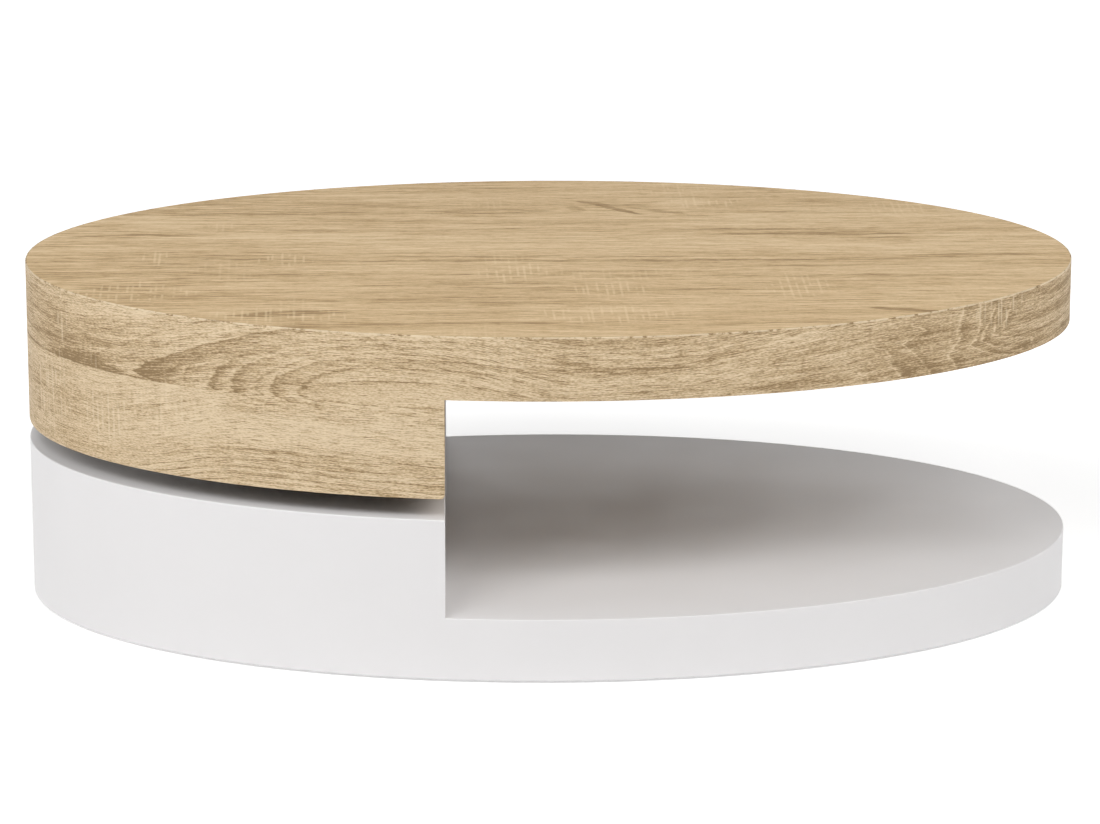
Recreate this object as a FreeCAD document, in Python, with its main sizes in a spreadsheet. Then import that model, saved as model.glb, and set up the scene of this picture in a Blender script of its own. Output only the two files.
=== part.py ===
"""Oval swivel coffee table: two hollow oval halves that turn on a ball race about a king bolt.

The model is in millimetres with +Z up. The origin lies on the floor under the centre of the oval,
+X points to the open shelf end and -Y to the front.
"""

import FreeCAD, Part
import math
import os
import re
import Sketcher

# Driving dimensions of the document's spreadsheet, in millimetres unless they are counts
SIZES = {
    # plan of both halves
    "table_length": 1000.0,
    "table_depth": 600.0,
    "cut_offset": 100.0,
    # levels from the floor upwards
    "glide_stand": 2.0,
    "shelf_board_height": 60.0,
    "pedestal_height": 94.0,
    "swivel_gap": 20.0,
    "drop_height": 94.0,
    "top_board_height": 60.0,
    # panels of the lower half
    "base_bottom_thickness": 8.0,
    "shelf_panel_thickness": 16.0,
    "pedestal_wall_thickness": 16.0,
    "pedestal_face_thickness": 16.0,
    "pedestal_top_thickness": 16.0,
    "lacquer_edge_radius": 1.0,
    "foot_edge_radius": 1.5,
    # panels of the upper half
    "top_panel_thickness": 16.0,
    "soffit_thickness": 8.0,
    "drop_wall_thickness": 16.0,
    "drop_face_thickness": 16.0,
    "drop_bottom_thickness": 16.0,
    "edge_band_thickness": 1.0,
    "band_edge_radius": 0.4,
    "drop_corner_radius": 4.5,
    "glue_line": 0.1,
    # frames and ribs of both halves
    "frame_ring_width": 40.0,
    "rail_spacing": 220.0,
    "rib_thickness": 20.0,
    "outer_rib_offset": 210.0,
    "rib_clearance": 0.3,
    "dowel_diameter": 8.0,
    "dowel_length": 50.0,
    "dowel_end_distance": 45.0,
    "dowel_end_clearance": 1.0,
    "fit_clearance": 0.1,
    # swivel race about the pivot axis
    "pivot_offset": 300.0,
    "ball_circle": 250.0,
    "ball_diameter": 10.0,
    "ball_count": 24,
    "ball_clearance": 0.2,
    "race_inner_land": 15.0,
    "race_outer_land": 25.0,
    "race_gap": 5.0,
    "race_edge_chamfer": 0.8,
    "cage_width": 18.0,
    "cage_thickness": 3.0,
    "race_screw_land": 16.0,
    "race_screw_count": 6,
    "race_screw_length": 18.0,
    # king bolt, washers, nut and bush
    "bolt_diameter": 10.0,
    "bolt_flats": 17.0,
    "bolt_head_height": 6.4,
    "bolt_end": 3.0,
    "nut_height": 10.0,
    "washer_diameter": 30.0,
    "washer_thickness": 2.5,
    "bush_wall": 2.5,
    "bush_flange_diameter": 24.0,
    "bush_flange_thickness": 2.0,
    "bush_running_clearance": 0.05,
    "washer_running_gap": 0.3,
    # countersunk screws
    "screw_diameter": 4.0,
    "screw_head_diameter": 8.0,
    "screw_socket_flats": 2.5,
    "screw_socket_depth": 1.6,
    "screw_end_clearance": 1.0,
    # floor glides and the screws of the closing panel
    "glide_count": 8,
    "glide_diameter": 30.0,
    "glide_recess": 3.0,
    "glide_inset": 24.0,
    "glide_foot_chamfer": 0.6,
    "glide_screw_sink": 0.8,
    "glide_screw_length": 20.0,
    "panel_screw_length": 25.0,
}

# Heights above the floor
BASE_UNDER = "glide_stand"
BASE_PANEL_TOP = f"{BASE_UNDER} + base_bottom_thickness"
SHELF_TOP = f"{BASE_UNDER} + shelf_board_height"
SHELF_UNDER = f"{SHELF_TOP} - shelf_panel_thickness"
PEDESTAL_TOP = f"{SHELF_TOP} + pedestal_height"
PEDESTAL_ROOF = f"{PEDESTAL_TOP} - pedestal_top_thickness"
DROP_UNDER = f"{PEDESTAL_TOP} + swivel_gap"
DROP_FLOOR = f"{DROP_UNDER} + drop_bottom_thickness"
BOARD_UNDER = f"{DROP_UNDER} + drop_height"
SOFFIT_TOP = f"{BOARD_UNDER} + soffit_thickness"
TABLE_TOP = f"{BOARD_UNDER} + top_board_height"
TOP_PANEL_UNDER = f"{TABLE_TOP} - top_panel_thickness"

# Distances inwards from the oval outline
BAND_INSET = "edge_band_thickness"
CORE_INSET = f"{BAND_INSET} + glue_line"

# Planes across the length
CUT_X = "-cut_offset"
PEDESTAL_FACE_X = "-cut_offset - pedestal_face_thickness"
DROP_FACE_X = "-cut_offset - drop_face_thickness"
PIVOT_X = "-pivot_offset"
PIVOT = (PIVOT_X, "0")

# Faces of the rails and webs, which stand in line
RAIL_OUTER_Y = "(rail_spacing + rib_thickness) / 2"
RAIL_INNER_Y = "(rail_spacing - rib_thickness) / 2"

# Swivel sizes that follow from others
RACE_HEIGHT = "(swivel_gap - race_gap) / 2"
SCREW_HOLE = "screw_diameter + 2 * fit_clearance"
SCREW_SEAT = "screw_head_diameter + 2 * fit_clearance"
BUSH_DIAMETER = "bolt_diameter + 2 * (bush_running_clearance + bush_wall)"
BUSH_TOP = f"{DROP_FLOOR} + bush_flange_thickness"
RACE_SCREW_RADIUS = "ball_circle / 2 + race_screw_land"
RACE_SCREW_HOLE_DEPTH = f"race_screw_length + screw_end_clearance - {RACE_HEIGHT}"

# Angles of the first screw or glide of each row, in degrees
RACE_SCREW_ANGLE = 30.0
GLIDE_ANGLE = 22.5
PANEL_SCREW_ANGLE = 45.0

# Share of the table's length within which two lengths count as the same
MATCH_SHARE = 1e-6

doc = FreeCAD.newDocument("swivel_coffee_table")
sheet = doc.addObject("Spreadsheet::Sheet", "Sizes")
for row, (alias, number) in enumerate(SIZES.items(), start=1):
    sheet.set(f"A{row}", alias)
    sheet.set(f"B{row}", str(number))
    sheet.setAlias(f"B{row}", alias)
doc.recompute()

nodes = []


def bound(expression):
    """Returns the expression with every size name referring to the spreadsheet."""
    return re.sub(r"[a-z_]+", lambda word: f"Sizes.{word[0]}" if word[0] in SIZES else word[0], expression)


def value(expression):
    """Returns the present value of an expression of size names."""
    result = sheet.evalExpression(bound(expression))
    return float(getattr(result, "Value", result))


def drive(target, path, expression):
    """Binds a property of a document object to an expression of size names."""
    target.setExpression(path, bound(expression))


def new_body(label):
    """Adds an empty body that becomes the sub-part with this name."""
    body = doc.addObject("PartDesign::Body", label)
    body.Label = label
    nodes.append(body)
    return body


def origin_feature(body, role):
    """Returns the body's own origin plane or axis with this role."""
    return next(item for item in body.Origin.OriginFeatures if item.Role == role)


def new_sketch(body, level, role="XY_Plane"):
    """Adds a sketch to a body on one of its origin planes, moved along the plane's normal."""
    sketch = body.newObject("Sketcher::SketchObject", f"{body.Label}_sketch")
    sketch.AttachmentSupport = [(origin_feature(body, role), "")]
    sketch.MapMode = "FlatFace"
    drive(sketch, "AttachmentOffset.Base.z", level)
    return sketch


def add_dimension(sketch, kind, geometry, expression):
    """Adds a dimension to a sketch and binds it to an expression."""
    index = sketch.addConstraint(Sketcher.Constraint(kind, *geometry, value(expression)))
    drive(sketch, f"Constraints[{index}]", expression)


def add_oval(sketch, inset):
    """Draws the oval outline, moved inwards by an inset, about the sketch's origin."""
    length = f"table_length - 2 * ({inset})"
    depth = f"table_depth - 2 * ({inset})"
    oval = Part.Ellipse(FreeCAD.Vector(0, 0, 0), value(length) / 2, value(depth) / 2)
    outline = sketch.addGeometry(oval)
    sketch.exposeInternalGeometry(outline)
    sketch.addConstraint(Sketcher.Constraint("Coincident", outline, 3, -1, 1))
    sketch.addConstraint(Sketcher.Constraint("Horizontal", outline + 1))
    add_dimension(sketch, "Distance", (outline + 1,), length)
    add_dimension(sketch, "Distance", (outline + 2,), depth)


def add_rectangle(sketch, left, right, front, rear):
    """Draws a rectangle between four signed distances from the sketch's origin."""
    corners = [(left, front), (right, front), (right, rear), (left, rear)]
    points = [FreeCAD.Vector(value(x), value(y), 0) for x, y in corners]
    first = len(sketch.Geometry)
    for index in range(4):
        sketch.addGeometry(Part.LineSegment(points[index], points[(index + 1) % 4]))
    for index in range(4):
        following = first + (index + 1) % 4
        sketch.addConstraint(Sketcher.Constraint("Coincident", first + index, 2, following, 1))
    for index in (0, 2):
        sketch.addConstraint(Sketcher.Constraint("Horizontal", first + index))
        sketch.addConstraint(Sketcher.Constraint("Vertical", first + index + 1))
    add_dimension(sketch, "DistanceX", (-1, 1, first, 1), left)
    add_dimension(sketch, "DistanceY", (-1, 1, first, 1), front)
    add_dimension(sketch, "DistanceX", (-1, 1, first + 2, 1), right)
    add_dimension(sketch, "DistanceY", (-1, 1, first + 2, 1), rear)


def add_circle(sketch, diameter, spot=None):
    """Draws a circle about the sketch's origin, or about a spot given by two expressions."""
    middle = FreeCAD.Vector(0, 0, 0)
    if spot:
        middle = FreeCAD.Vector(value(spot[0]), value(spot[1]), 0)
    circle = Part.Circle(middle, FreeCAD.Vector(0, 0, 1), value(diameter) / 2)
    index = sketch.addGeometry(circle)
    add_dimension(sketch, "Diameter", (index,), diameter)
    if spot:
        add_dimension(sketch, "DistanceX", (-1, 1, index, 3), spot[0])
        add_dimension(sketch, "DistanceY", (-1, 1, index, 3), spot[1])
    else:
        sketch.addConstraint(Sketcher.Constraint("Coincident", index, 3, -1, 1))


def add_rounded_end(sketch, plane, top, radius):
    """Draws what lies past an end plane in a lengthwise sketch, so that its upper corner stays round."""
    shoulder = (f"{plane} - {radius}", top)
    corner = (plane, f"{top} - {radius}")
    outline = [(plane, BASE_UNDER), corner, shoulder, (shoulder[0], TABLE_TOP),
               ("table_length", TABLE_TOP), ("table_length", BASE_UNDER)]
    points = [FreeCAD.Vector(value(x), value(z), 0) for x, z in outline]
    middle = FreeCAD.Vector(points[2].x, points[1].y, 0)
    rounding = Part.Circle(middle, FreeCAD.Vector(0, 0, 1), value(radius))
    for index, point in enumerate(points):
        if index == 1:
            sketch.addGeometry(Part.ArcOfCircle(rounding, 0, math.pi / 2))
        else:
            sketch.addGeometry(Part.LineSegment(point, points[(index + 1) % len(points)]))
    for index, (x, z) in enumerate(outline):
        following = (index + 1) % len(outline)
        sketch.addConstraint(Sketcher.Constraint("Coincident", index, 2, following, 1))
        add_dimension(sketch, "DistanceX", (-1, 1, index, 1), x)
        add_dimension(sketch, "DistanceY", (-1, 1, index, 1), z)
    add_dimension(sketch, "Radius", (1,), radius)


def add_pad(body, sketch, length):
    """Pads a sketch upwards."""
    pad = body.newObject("PartDesign::Pad", f"{body.Label}_pad")
    pad.Profile = sketch
    drive(pad, "Length", length)
    doc.recompute()
    return pad


def add_pocket(body, sketch, depth=None, upward=False):
    """Cuts a sketch into the body, through it all if no depth is given, and checks that it cut."""
    before = body.Shape.Volume
    pocket = body.newObject("PartDesign::Pocket", f"{body.Label}_pocket")
    pocket.Profile = sketch
    pocket.Reversed = upward
    if depth:
        drive(pocket, "Length", depth)
    else:
        pocket.Type = "ThroughAll"
    doc.recompute()
    if not body.Shape.Volume < before:
        raise RuntimeError(f"a pocket of {body.Label} cut nothing")
    return pocket


def dress_edges(body, kind, size_path, size, test):
    """Adds a fillet or chamfer to the edges that pass a test, which sees them in the body's own frame."""
    shaped = body.Tip
    names = [f"Edge{index}" for index, edge in enumerate(shaped.Shape.Edges, start=1) if test(edge)]
    if not names:
        raise RuntimeError(f"no edge to dress on {body.Label}")
    dressing = body.newObject(f"PartDesign::{kind}", f"{body.Label}_{kind.lower()}")
    dressing.Base = (shaped, names)
    drive(dressing, size_path, size)
    body.Tip = dressing
    doc.recompute()


def matches(found, wanted):
    """Tells whether two lengths are the same for this table's size."""
    return abs(found - wanted) <= MATCH_SHARE * value("table_length")


def lies_at(edge, level):
    """Tells whether a whole edge lies at a height of its body."""
    return matches(edge.BoundBox.ZMin, value(level)) and matches(edge.BoundBox.ZMax, value(level))


def is_straight(edge, level):
    """Tells whether an edge is a straight one at a height."""
    return isinstance(edge.Curve, Part.Line) and lies_at(edge, level)


def is_oval(edge, level, half_lengths=None):
    """Tells whether an edge runs along an oval at a height, of one of some half lengths if given."""
    if not isinstance(edge.Curve, Part.Ellipse) or not lies_at(edge, level):
        return False
    return not half_lengths or any(matches(edge.Curve.MajorRadius, half) for half in half_lengths)


def is_circle(edge, level, radii):
    """Tells whether an edge runs along a circle of one of some radii at a height."""
    if not isinstance(edge.Curve, Part.Circle) or not lies_at(edge, level):
        return False
    return any(matches(edge.Curve.Radius, radius) for radius in radii)


def drill(body, level, spots, diameter, depth=None, upward=False, seat=None):
    """Drills round holes at spots, and sinks their mouths to a seat diameter if one is given."""
    sketch = new_sketch(body, level)
    for spot in spots:
        add_circle(sketch, diameter, spot)
    add_pocket(body, sketch, depth, upward)
    if seat:
        mouths = [value(diameter) / 2]
        dress_edges(body, "Chamfer", "Size", f"({seat} - ({diameter})) / 2",
                    lambda edge: is_circle(edge, level, mouths))


def oval_slab(label, inset, level, height, hollow=None, left=None, right=None):
    """Makes an oval slab or ring and cuts it off square at a left or right plane."""
    body = new_body(label)
    sketch = new_sketch(body, level)
    add_oval(sketch, inset)
    if hollow:
        add_oval(sketch, hollow)
    add_pad(body, sketch, height)
    if left or right:
        cut = new_sketch(body, f"{level} + ({height})")
        if left:
            add_rectangle(cut, "-table_length", left, "-table_depth", "table_depth")
        if right:
            add_rectangle(cut, right, "table_length", "-table_depth", "table_depth")
        add_pocket(body, cut)
    return body


def block(label, left, right, front, rear, level, height):
    """Makes a straight-edged block."""
    body = new_body(label)
    sketch = new_sketch(body, level)
    add_rectangle(sketch, left, right, front, rear)
    add_pad(body, sketch, height)
    return body


def oval_reach(inset, side):
    """Returns the length from the centre to the inset oval at a distance to the side."""
    share = f"({side}) / (table_depth / 2 - ({inset}))"
    return f"((table_length / 2 - ({inset})) * sqrt(1 - ({share}) ^ 2) - rib_clearance)"


def spots_on_oval(count, inset, first_angle):
    """Returns spots on the inset oval, one for each equal step of its angle."""
    half_length = f"(table_length / 2 - {inset})"
    half_depth = f"(table_depth / 2 - {inset})"
    angles = [first_angle + 360.0 * index / count for index in range(count)]
    return [(f"{half_length} * cos({angle})", f"{half_depth} * sin({angle})") for angle in angles]


def spots_on_circle(count, radius, first_angle, middle="0"):
    """Returns evenly spaced spots on a circle about a middle along the length."""
    angles = [first_angle + 360.0 * index / count for index in range(count)]
    return [(f"{middle} + ({radius}) * cos({angle})", f"({radius}) * sin({angle})") for angle in angles]


RACE_SCREW_SPOTS = spots_on_circle(SIZES["race_screw_count"], RACE_SCREW_RADIUS, RACE_SCREW_ANGLE, PIVOT_X)


def primitive(kind, name, spot, level, **sizes):
    """Adds a Part primitive at a spot and a height, its sizes bound to expressions."""
    item = doc.addObject(f"Part::{kind}", name)
    drive(item, "Placement.Base.x", spot[0])
    drive(item, "Placement.Base.y", spot[1])
    drive(item, "Placement.Base.z", level)
    for path, expression in sizes.items():
        drive(item, path, expression)
    return item


def hexagon(name, spot, level, flats, height):
    """Adds a hexagonal prism with a width across its flats."""
    item = primitive("Prism", name, spot, level, Circumradius=f"{flats} / sqrt(3)", Height=height)
    item.Polygon = 6
    return item


def joined(name, members):
    """Fuses document objects into one solid."""
    item = doc.addObject("Part::MultiFuse", name)
    item.Shapes = members
    return item


def cut_out(name, base, tool):
    """Cuts one document object out of another."""
    item = doc.addObject("Part::Cut", name)
    item.Base = base
    item.Tool = tool
    return item


def group(label, members):
    """Gathers separate solids into one sub-part."""
    item = doc.addObject("Part::Compound", label)
    item.Label = label
    item.Links = members
    nodes.append(item)


def screw(name, spot, level, length, upward):
    """Makes one countersunk socket screw whose head lies at a height and which points up or down."""
    head_height = "(screw_head_diameter - screw_diameter) / 2"
    shank_height = f"{length} - {head_height}"
    radii = ["screw_head_diameter / 2", "screw_diameter / 2"]
    head_level = level
    shank_level = f"{level} + {head_height}"
    socket_level = level
    if not upward:
        radii.reverse()
        head_level = f"{level} - {head_height}"
        shank_level = f"{level} - {length}"
        socket_level = f"{level} - screw_socket_depth"
    head = primitive("Cone", f"{name}_head", spot, head_level,
                     Radius1=radii[0], Radius2=radii[1], Height=head_height)
    shank = primitive("Cylinder", f"{name}_shank", spot, shank_level,
                      Radius="screw_diameter / 2", Height=shank_height)
    socket = hexagon(f"{name}_socket", spot, socket_level, "screw_socket_flats", "screw_socket_depth")
    return cut_out(name, joined(f"{name}_blank", [head, shank]), socket)


def screws(label, spots, level, length, upward):
    """Makes a group of countersunk socket screws."""
    members = []
    for index, spot in enumerate(spots, start=1):
        members.append(screw(f"{label}_{index}", spot, level, length, upward))
    group(label, members)


def frame(prefix, inset, level, height):
    """Makes the frame of one half, an oval ring with two rails and two cross ribs, and returns
    the ring, the rails by side and the plane of the rails' left ends."""
    inner = f"{inset} + frame_ring_width"
    reach = oval_reach(inner, RAIL_OUTER_Y)
    ring = oval_slab(f"{prefix}_frame_ring", inset, level, height, hollow=inner)
    rails = rail_pair(f"{prefix}_rail", f"-{reach}", reach, level, height)
    rib_planes = {"inner": CUT_X, "outer": "outer_rib_offset"}
    for name, plane in rib_planes.items():
        block(f"{prefix}_cross_rib_{name}", f"{plane} - rib_thickness", plane,
              f"-{RAIL_INNER_Y}", RAIL_INNER_Y, level, height)
    return ring, rails, f"-{reach}"


def rail_pair(prefix, left, right, level, height):
    """Makes two blocks in line with the rails, one in front and one at the rear."""
    return {
        "front": block(f"{prefix}_front", left, right, f"-{RAIL_OUTER_Y}", f"-{RAIL_INNER_Y}", level, height),
        "rear": block(f"{prefix}_rear", left, right, RAIL_INNER_Y, RAIL_OUTER_Y, level, height),
    }


def dowels(label, left, right, level, lower, upper):
    """Makes upright dowels across a joint between a lower and an upper pair, and drills both."""
    stations = [f"{left} + dowel_end_distance", f"({left} + ({right})) / 2", f"{right} - dowel_end_distance"]
    lines = {"front": "-rail_spacing / 2", "rear": "rail_spacing / 2"}
    hole = "dowel_diameter + 2 * fit_clearance"
    depth = "dowel_length / 2 + dowel_end_clearance"
    members = []
    for side, line in lines.items():
        spots = [(station, line) for station in stations]
        drill(lower[side], level, spots, hole, depth)
        drill(upper[side], level, spots, hole, depth, upward=True)
        for index, spot in enumerate(spots, start=1):
            pin = primitive("Cylinder", f"{label}_{side}_{index}", spot, f"{level} - dowel_length / 2",
                            Radius="dowel_diameter / 2", Height="dowel_length")
            members.append(pin)
    group(label, members)


def glide(name, spot):
    """Makes one floor glide with a chamfered foot and a sunk screw seat."""
    foot = primitive("Cone", f"{name}_foot", spot, "0", Radius1="glide_diameter / 2 - glide_foot_chamfer",
                     Radius2="glide_diameter / 2", Height="glide_foot_chamfer")
    puck = primitive("Cylinder", f"{name}_puck", spot, "glide_foot_chamfer", Radius="glide_diameter / 2",
                     Height="glide_stand + glide_recess - glide_foot_chamfer")
    mouth = primitive("Cylinder", f"{name}_mouth", spot, "0",
                      Radius=f"({SCREW_SEAT}) / 2", Height="glide_screw_sink")
    sink = primitive("Cone", f"{name}_sink", spot, "glide_screw_sink", Radius1=f"({SCREW_SEAT}) / 2",
                     Radius2=f"({SCREW_HOLE}) / 2", Height=f"({SCREW_SEAT} - ({SCREW_HOLE})) / 2")
    bore = primitive("Cylinder", f"{name}_bore", spot, "0",
                     Radius=f"({SCREW_HOLE}) / 2", Height="glide_stand + glide_recess")
    return cut_out(name, joined(f"{name}_blank", [foot, puck]), joined(f"{name}_seat", [mouth, sink, bore]))


def race_ring(label, level, flipped):
    """Makes one race ring about the pivot axis with its ball groove and countersunk screw holes."""
    body = new_body(label)
    if flipped:
        body.Placement.Rotation = FreeCAD.Rotation(FreeCAD.Vector(1, 0, 0), 180)
    drive(body, "Placement.Base.x", PIVOT_X)
    drive(body, "Placement.Base.z", level)
    inner_radius = "ball_circle / 2 - race_inner_land"
    outer_radius = "ball_circle / 2 + race_outer_land"
    sketch = new_sketch(body, "0")
    add_circle(sketch, f"2 * ({inner_radius})")
    add_circle(sketch, f"2 * ({outer_radius})")
    add_pad(body, sketch, RACE_HEIGHT)
    before = body.Shape.Volume
    profile = new_sketch(body, "0", "XZ_Plane")
    add_circle(profile, "ball_diameter + 2 * ball_clearance", ("ball_circle / 2", "swivel_gap / 2"))
    groove = body.newObject("PartDesign::Groove", f"{label}_groove")
    groove.Profile = profile
    groove.ReferenceAxis = (origin_feature(body, "Z_Axis"), [""])
    groove.Angle = 360
    doc.recompute()
    if not body.Shape.Volume < before:
        raise RuntimeError(f"the groove of {label} cut nothing")
    spots = spots_on_circle(SIZES["race_screw_count"], RACE_SCREW_RADIUS, RACE_SCREW_ANGLE)
    drill(body, RACE_HEIGHT, spots, SCREW_HOLE, seat=SCREW_SEAT)
    rims = [value(inner_radius), value(outer_radius)]
    dress_edges(body, "Chamfer", "Size", "race_edge_chamfer",
                lambda edge: is_circle(edge, RACE_HEIGHT, rims))


def polar_row(body, original):
    """Repeats a feature of a body about its own Z axis, once for each ball."""
    row = body.newObject("PartDesign::PolarPattern", f"{body.Label}_row")
    row.Originals = [original]
    row.Axis = (origin_feature(body, "Z_Axis"), [""])
    row.Angle = 360
    drive(row, "Occurrences", "ball_count")
    body.Tip = row
    doc.recompute()


def build_base_board():
    """Makes the board on the floor: frame, closing panel, glides and screws. Returns the rails by
    side and the plane of their left ends."""
    height = "shelf_board_height - base_bottom_thickness - shelf_panel_thickness"
    ring, rails, rail_left = frame("base", "0", BASE_PANEL_TOP, height)
    panel = oval_slab("base_bottom_panel", "0", BASE_UNDER, "base_bottom_thickness")
    dress_edges(panel, "Fillet", "Radius", "foot_edge_radius", lambda edge: is_oval(edge, BASE_UNDER))
    glide_spots = spots_on_oval(SIZES["glide_count"], "glide_inset", GLIDE_ANGLE)
    screw_spots = spots_on_oval(SIZES["glide_count"], "glide_inset", PANEL_SCREW_ANGLE)
    drill(panel, BASE_UNDER, glide_spots, "glide_diameter + 2 * fit_clearance", "glide_recess", upward=True)
    drill(panel, f"{BASE_UNDER} + glide_recess", glide_spots, SCREW_HOLE,
          "base_bottom_thickness - glide_recess", upward=True)
    drill(panel, BASE_UNDER, screw_spots, SCREW_HOLE, "base_bottom_thickness", upward=True, seat=SCREW_SEAT)
    glide_hole_depth = f"glide_screw_sink + glide_screw_length - ({BASE_PANEL_TOP}) + screw_end_clearance"
    panel_hole_depth = "panel_screw_length - base_bottom_thickness + screw_end_clearance"
    drill(ring, BASE_PANEL_TOP, glide_spots, SCREW_HOLE, glide_hole_depth, upward=True)
    drill(ring, BASE_PANEL_TOP, screw_spots, SCREW_HOLE, panel_hole_depth, upward=True)
    glides = [glide(f"floor_glides_{index}", spot) for index, spot in enumerate(glide_spots, start=1)]
    group("floor_glides", glides)
    screws("glide_screws", glide_spots, "glide_screw_sink", "glide_screw_length", upward=True)
    screws("bottom_panel_screws", screw_spots, BASE_UNDER, "panel_screw_length", upward=True)
    return rails, rail_left


def build_pedestal(rails, rail_left):
    """Makes the shelf and the block that stands at its closed end."""
    shelf = oval_slab("shelf_panel", "0", SHELF_UNDER, "shelf_panel_thickness", left=CUT_X)
    dress_edges(shelf, "Fillet", "Radius", "lacquer_edge_radius", lambda edge: is_oval(edge, SHELF_TOP))
    height = f"{PEDESTAL_ROOF} - ({SHELF_UNDER})"
    wall = "pedestal_wall_thickness"
    oval_slab("pedestal_wall", "0", SHELF_UNDER, height, hollow=wall, right=PEDESTAL_FACE_X)
    oval_slab("pedestal_face_panel", "0", SHELF_UNDER, height, left=PEDESTAL_FACE_X, right=CUT_X)
    web_left = f"-{oval_reach(wall, RAIL_OUTER_Y)}"
    webs = rail_pair("pedestal_rib", web_left, PEDESTAL_FACE_X, SHELF_UNDER, height)
    dowels("pedestal_dowels", rail_left, PEDESTAL_FACE_X, SHELF_UNDER, rails, webs)
    roof = oval_slab("pedestal_top_panel", "0", PEDESTAL_ROOF, "pedestal_top_thickness")
    dress_edges(roof, "Fillet", "Radius", "lacquer_edge_radius", lambda edge: is_oval(edge, PEDESTAL_TOP))
    end = new_sketch(roof, "table_depth", "XZ_Plane")
    add_rounded_end(end, CUT_X, PEDESTAL_TOP, "lacquer_edge_radius")
    add_pocket(roof, end)
    drill(roof, PEDESTAL_TOP, RACE_SCREW_SPOTS, SCREW_HOLE, RACE_SCREW_HOLE_DEPTH)
    drill(roof, PEDESTAL_TOP, [PIVOT], "bolt_diameter + 2 * fit_clearance")


def build_swivel():
    """Makes the two race rings with their screws, the balls in their cage, and the king bolt with its
    washers, lock nut and bush. The nut can be reached through the closing panel."""
    race_ring("lower_race_ring", PEDESTAL_TOP, flipped=False)
    race_ring("upper_race_ring", DROP_UNDER, flipped=True)
    lower_race_top = f"{PEDESTAL_TOP} + {RACE_HEIGHT}"
    upper_race_under = f"{DROP_UNDER} - {RACE_HEIGHT}"
    screws("lower_race_screws", RACE_SCREW_SPOTS, lower_race_top, "race_screw_length", upward=False)
    screws("upper_race_screws", RACE_SCREW_SPOTS, upper_race_under, "race_screw_length", upward=True)

    cage = new_body("ball_cage")
    balls = new_body("bearing_balls")
    for body in (cage, balls):
        drive(body, "Placement.Base.x", PIVOT_X)
        drive(body, "Placement.Base.z", f"{PEDESTAL_TOP} + swivel_gap / 2")
    ring = new_sketch(cage, "-cage_thickness / 2")
    add_circle(ring, "ball_circle + cage_width")
    add_circle(ring, "ball_circle - cage_width")
    add_pad(cage, ring, "cage_thickness")
    window = new_sketch(cage, "cage_thickness / 2")
    add_circle(window, "ball_diameter + 2 * ball_clearance", ("ball_circle / 2", "0"))
    polar_row(cage, add_pocket(cage, window))
    ball = balls.newObject("PartDesign::AdditiveSphere", "bearing_ball")
    ball.AttachmentSupport = [(origin_feature(balls, "XY_Plane"), "")]
    ball.MapMode = "FlatFace"
    drive(ball, "AttachmentOffset.Base.x", "ball_circle / 2")
    drive(ball, "Radius", "ball_diameter / 2")
    doc.recompute()
    polar_row(balls, ball)

    bush = new_body("pivot_bush")
    drive(bush, "Placement.Base.x", PIVOT_X)
    sleeve = new_sketch(bush, DROP_UNDER)
    add_circle(sleeve, BUSH_DIAMETER)
    add_pad(bush, sleeve, "drop_bottom_thickness")
    flange = new_sketch(bush, DROP_FLOOR)
    add_circle(flange, "bush_flange_diameter")
    add_pad(bush, flange, "bush_flange_thickness")
    bore = new_sketch(bush, BUSH_TOP)
    add_circle(bore, "bolt_diameter + 2 * bush_running_clearance")
    add_pocket(bush, bore)

    upper_washer = f"{BUSH_TOP} + washer_running_gap"
    lower_washer = f"{PEDESTAL_ROOF} - washer_thickness"
    bolt_head = f"{upper_washer} + washer_thickness"
    nut_under = f"{lower_washer} - nut_height"
    shank = primitive("Cylinder", "pivot_bolt_shank", PIVOT, f"{nut_under} - bolt_end",
                      Radius="bolt_diameter / 2", Height=f"{bolt_head} - ({nut_under}) + bolt_end")
    head = hexagon("pivot_bolt_head", PIVOT, bolt_head, "bolt_flats", "bolt_head_height")
    nodes.append(joined("pivot_bolt", [shank, head]))
    washers = []
    for name, level in {"lower": lower_washer, "upper": upper_washer}.items():
        disc = primitive("Cylinder", f"pivot_washer_{name}_disc", PIVOT, level,
                         Radius="washer_diameter / 2", Height="washer_thickness")
        hole = primitive("Cylinder", f"pivot_washer_{name}_hole", PIVOT, level,
                         Radius="bolt_diameter / 2 + fit_clearance", Height="washer_thickness")
        washers.append(cut_out(f"pivot_washer_{name}", disc, hole))
    group("pivot_washers", washers)
    nut = hexagon("pivot_lock_nut_blank", PIVOT, nut_under, "bolt_flats", "nut_height")
    thread = primitive("Cylinder", "pivot_lock_nut_thread", PIVOT, nut_under,
                       Radius="bolt_diameter / 2 + fit_clearance", Height="nut_height")
    nodes.append(cut_out("pivot_lock_nut", nut, thread))


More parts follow.
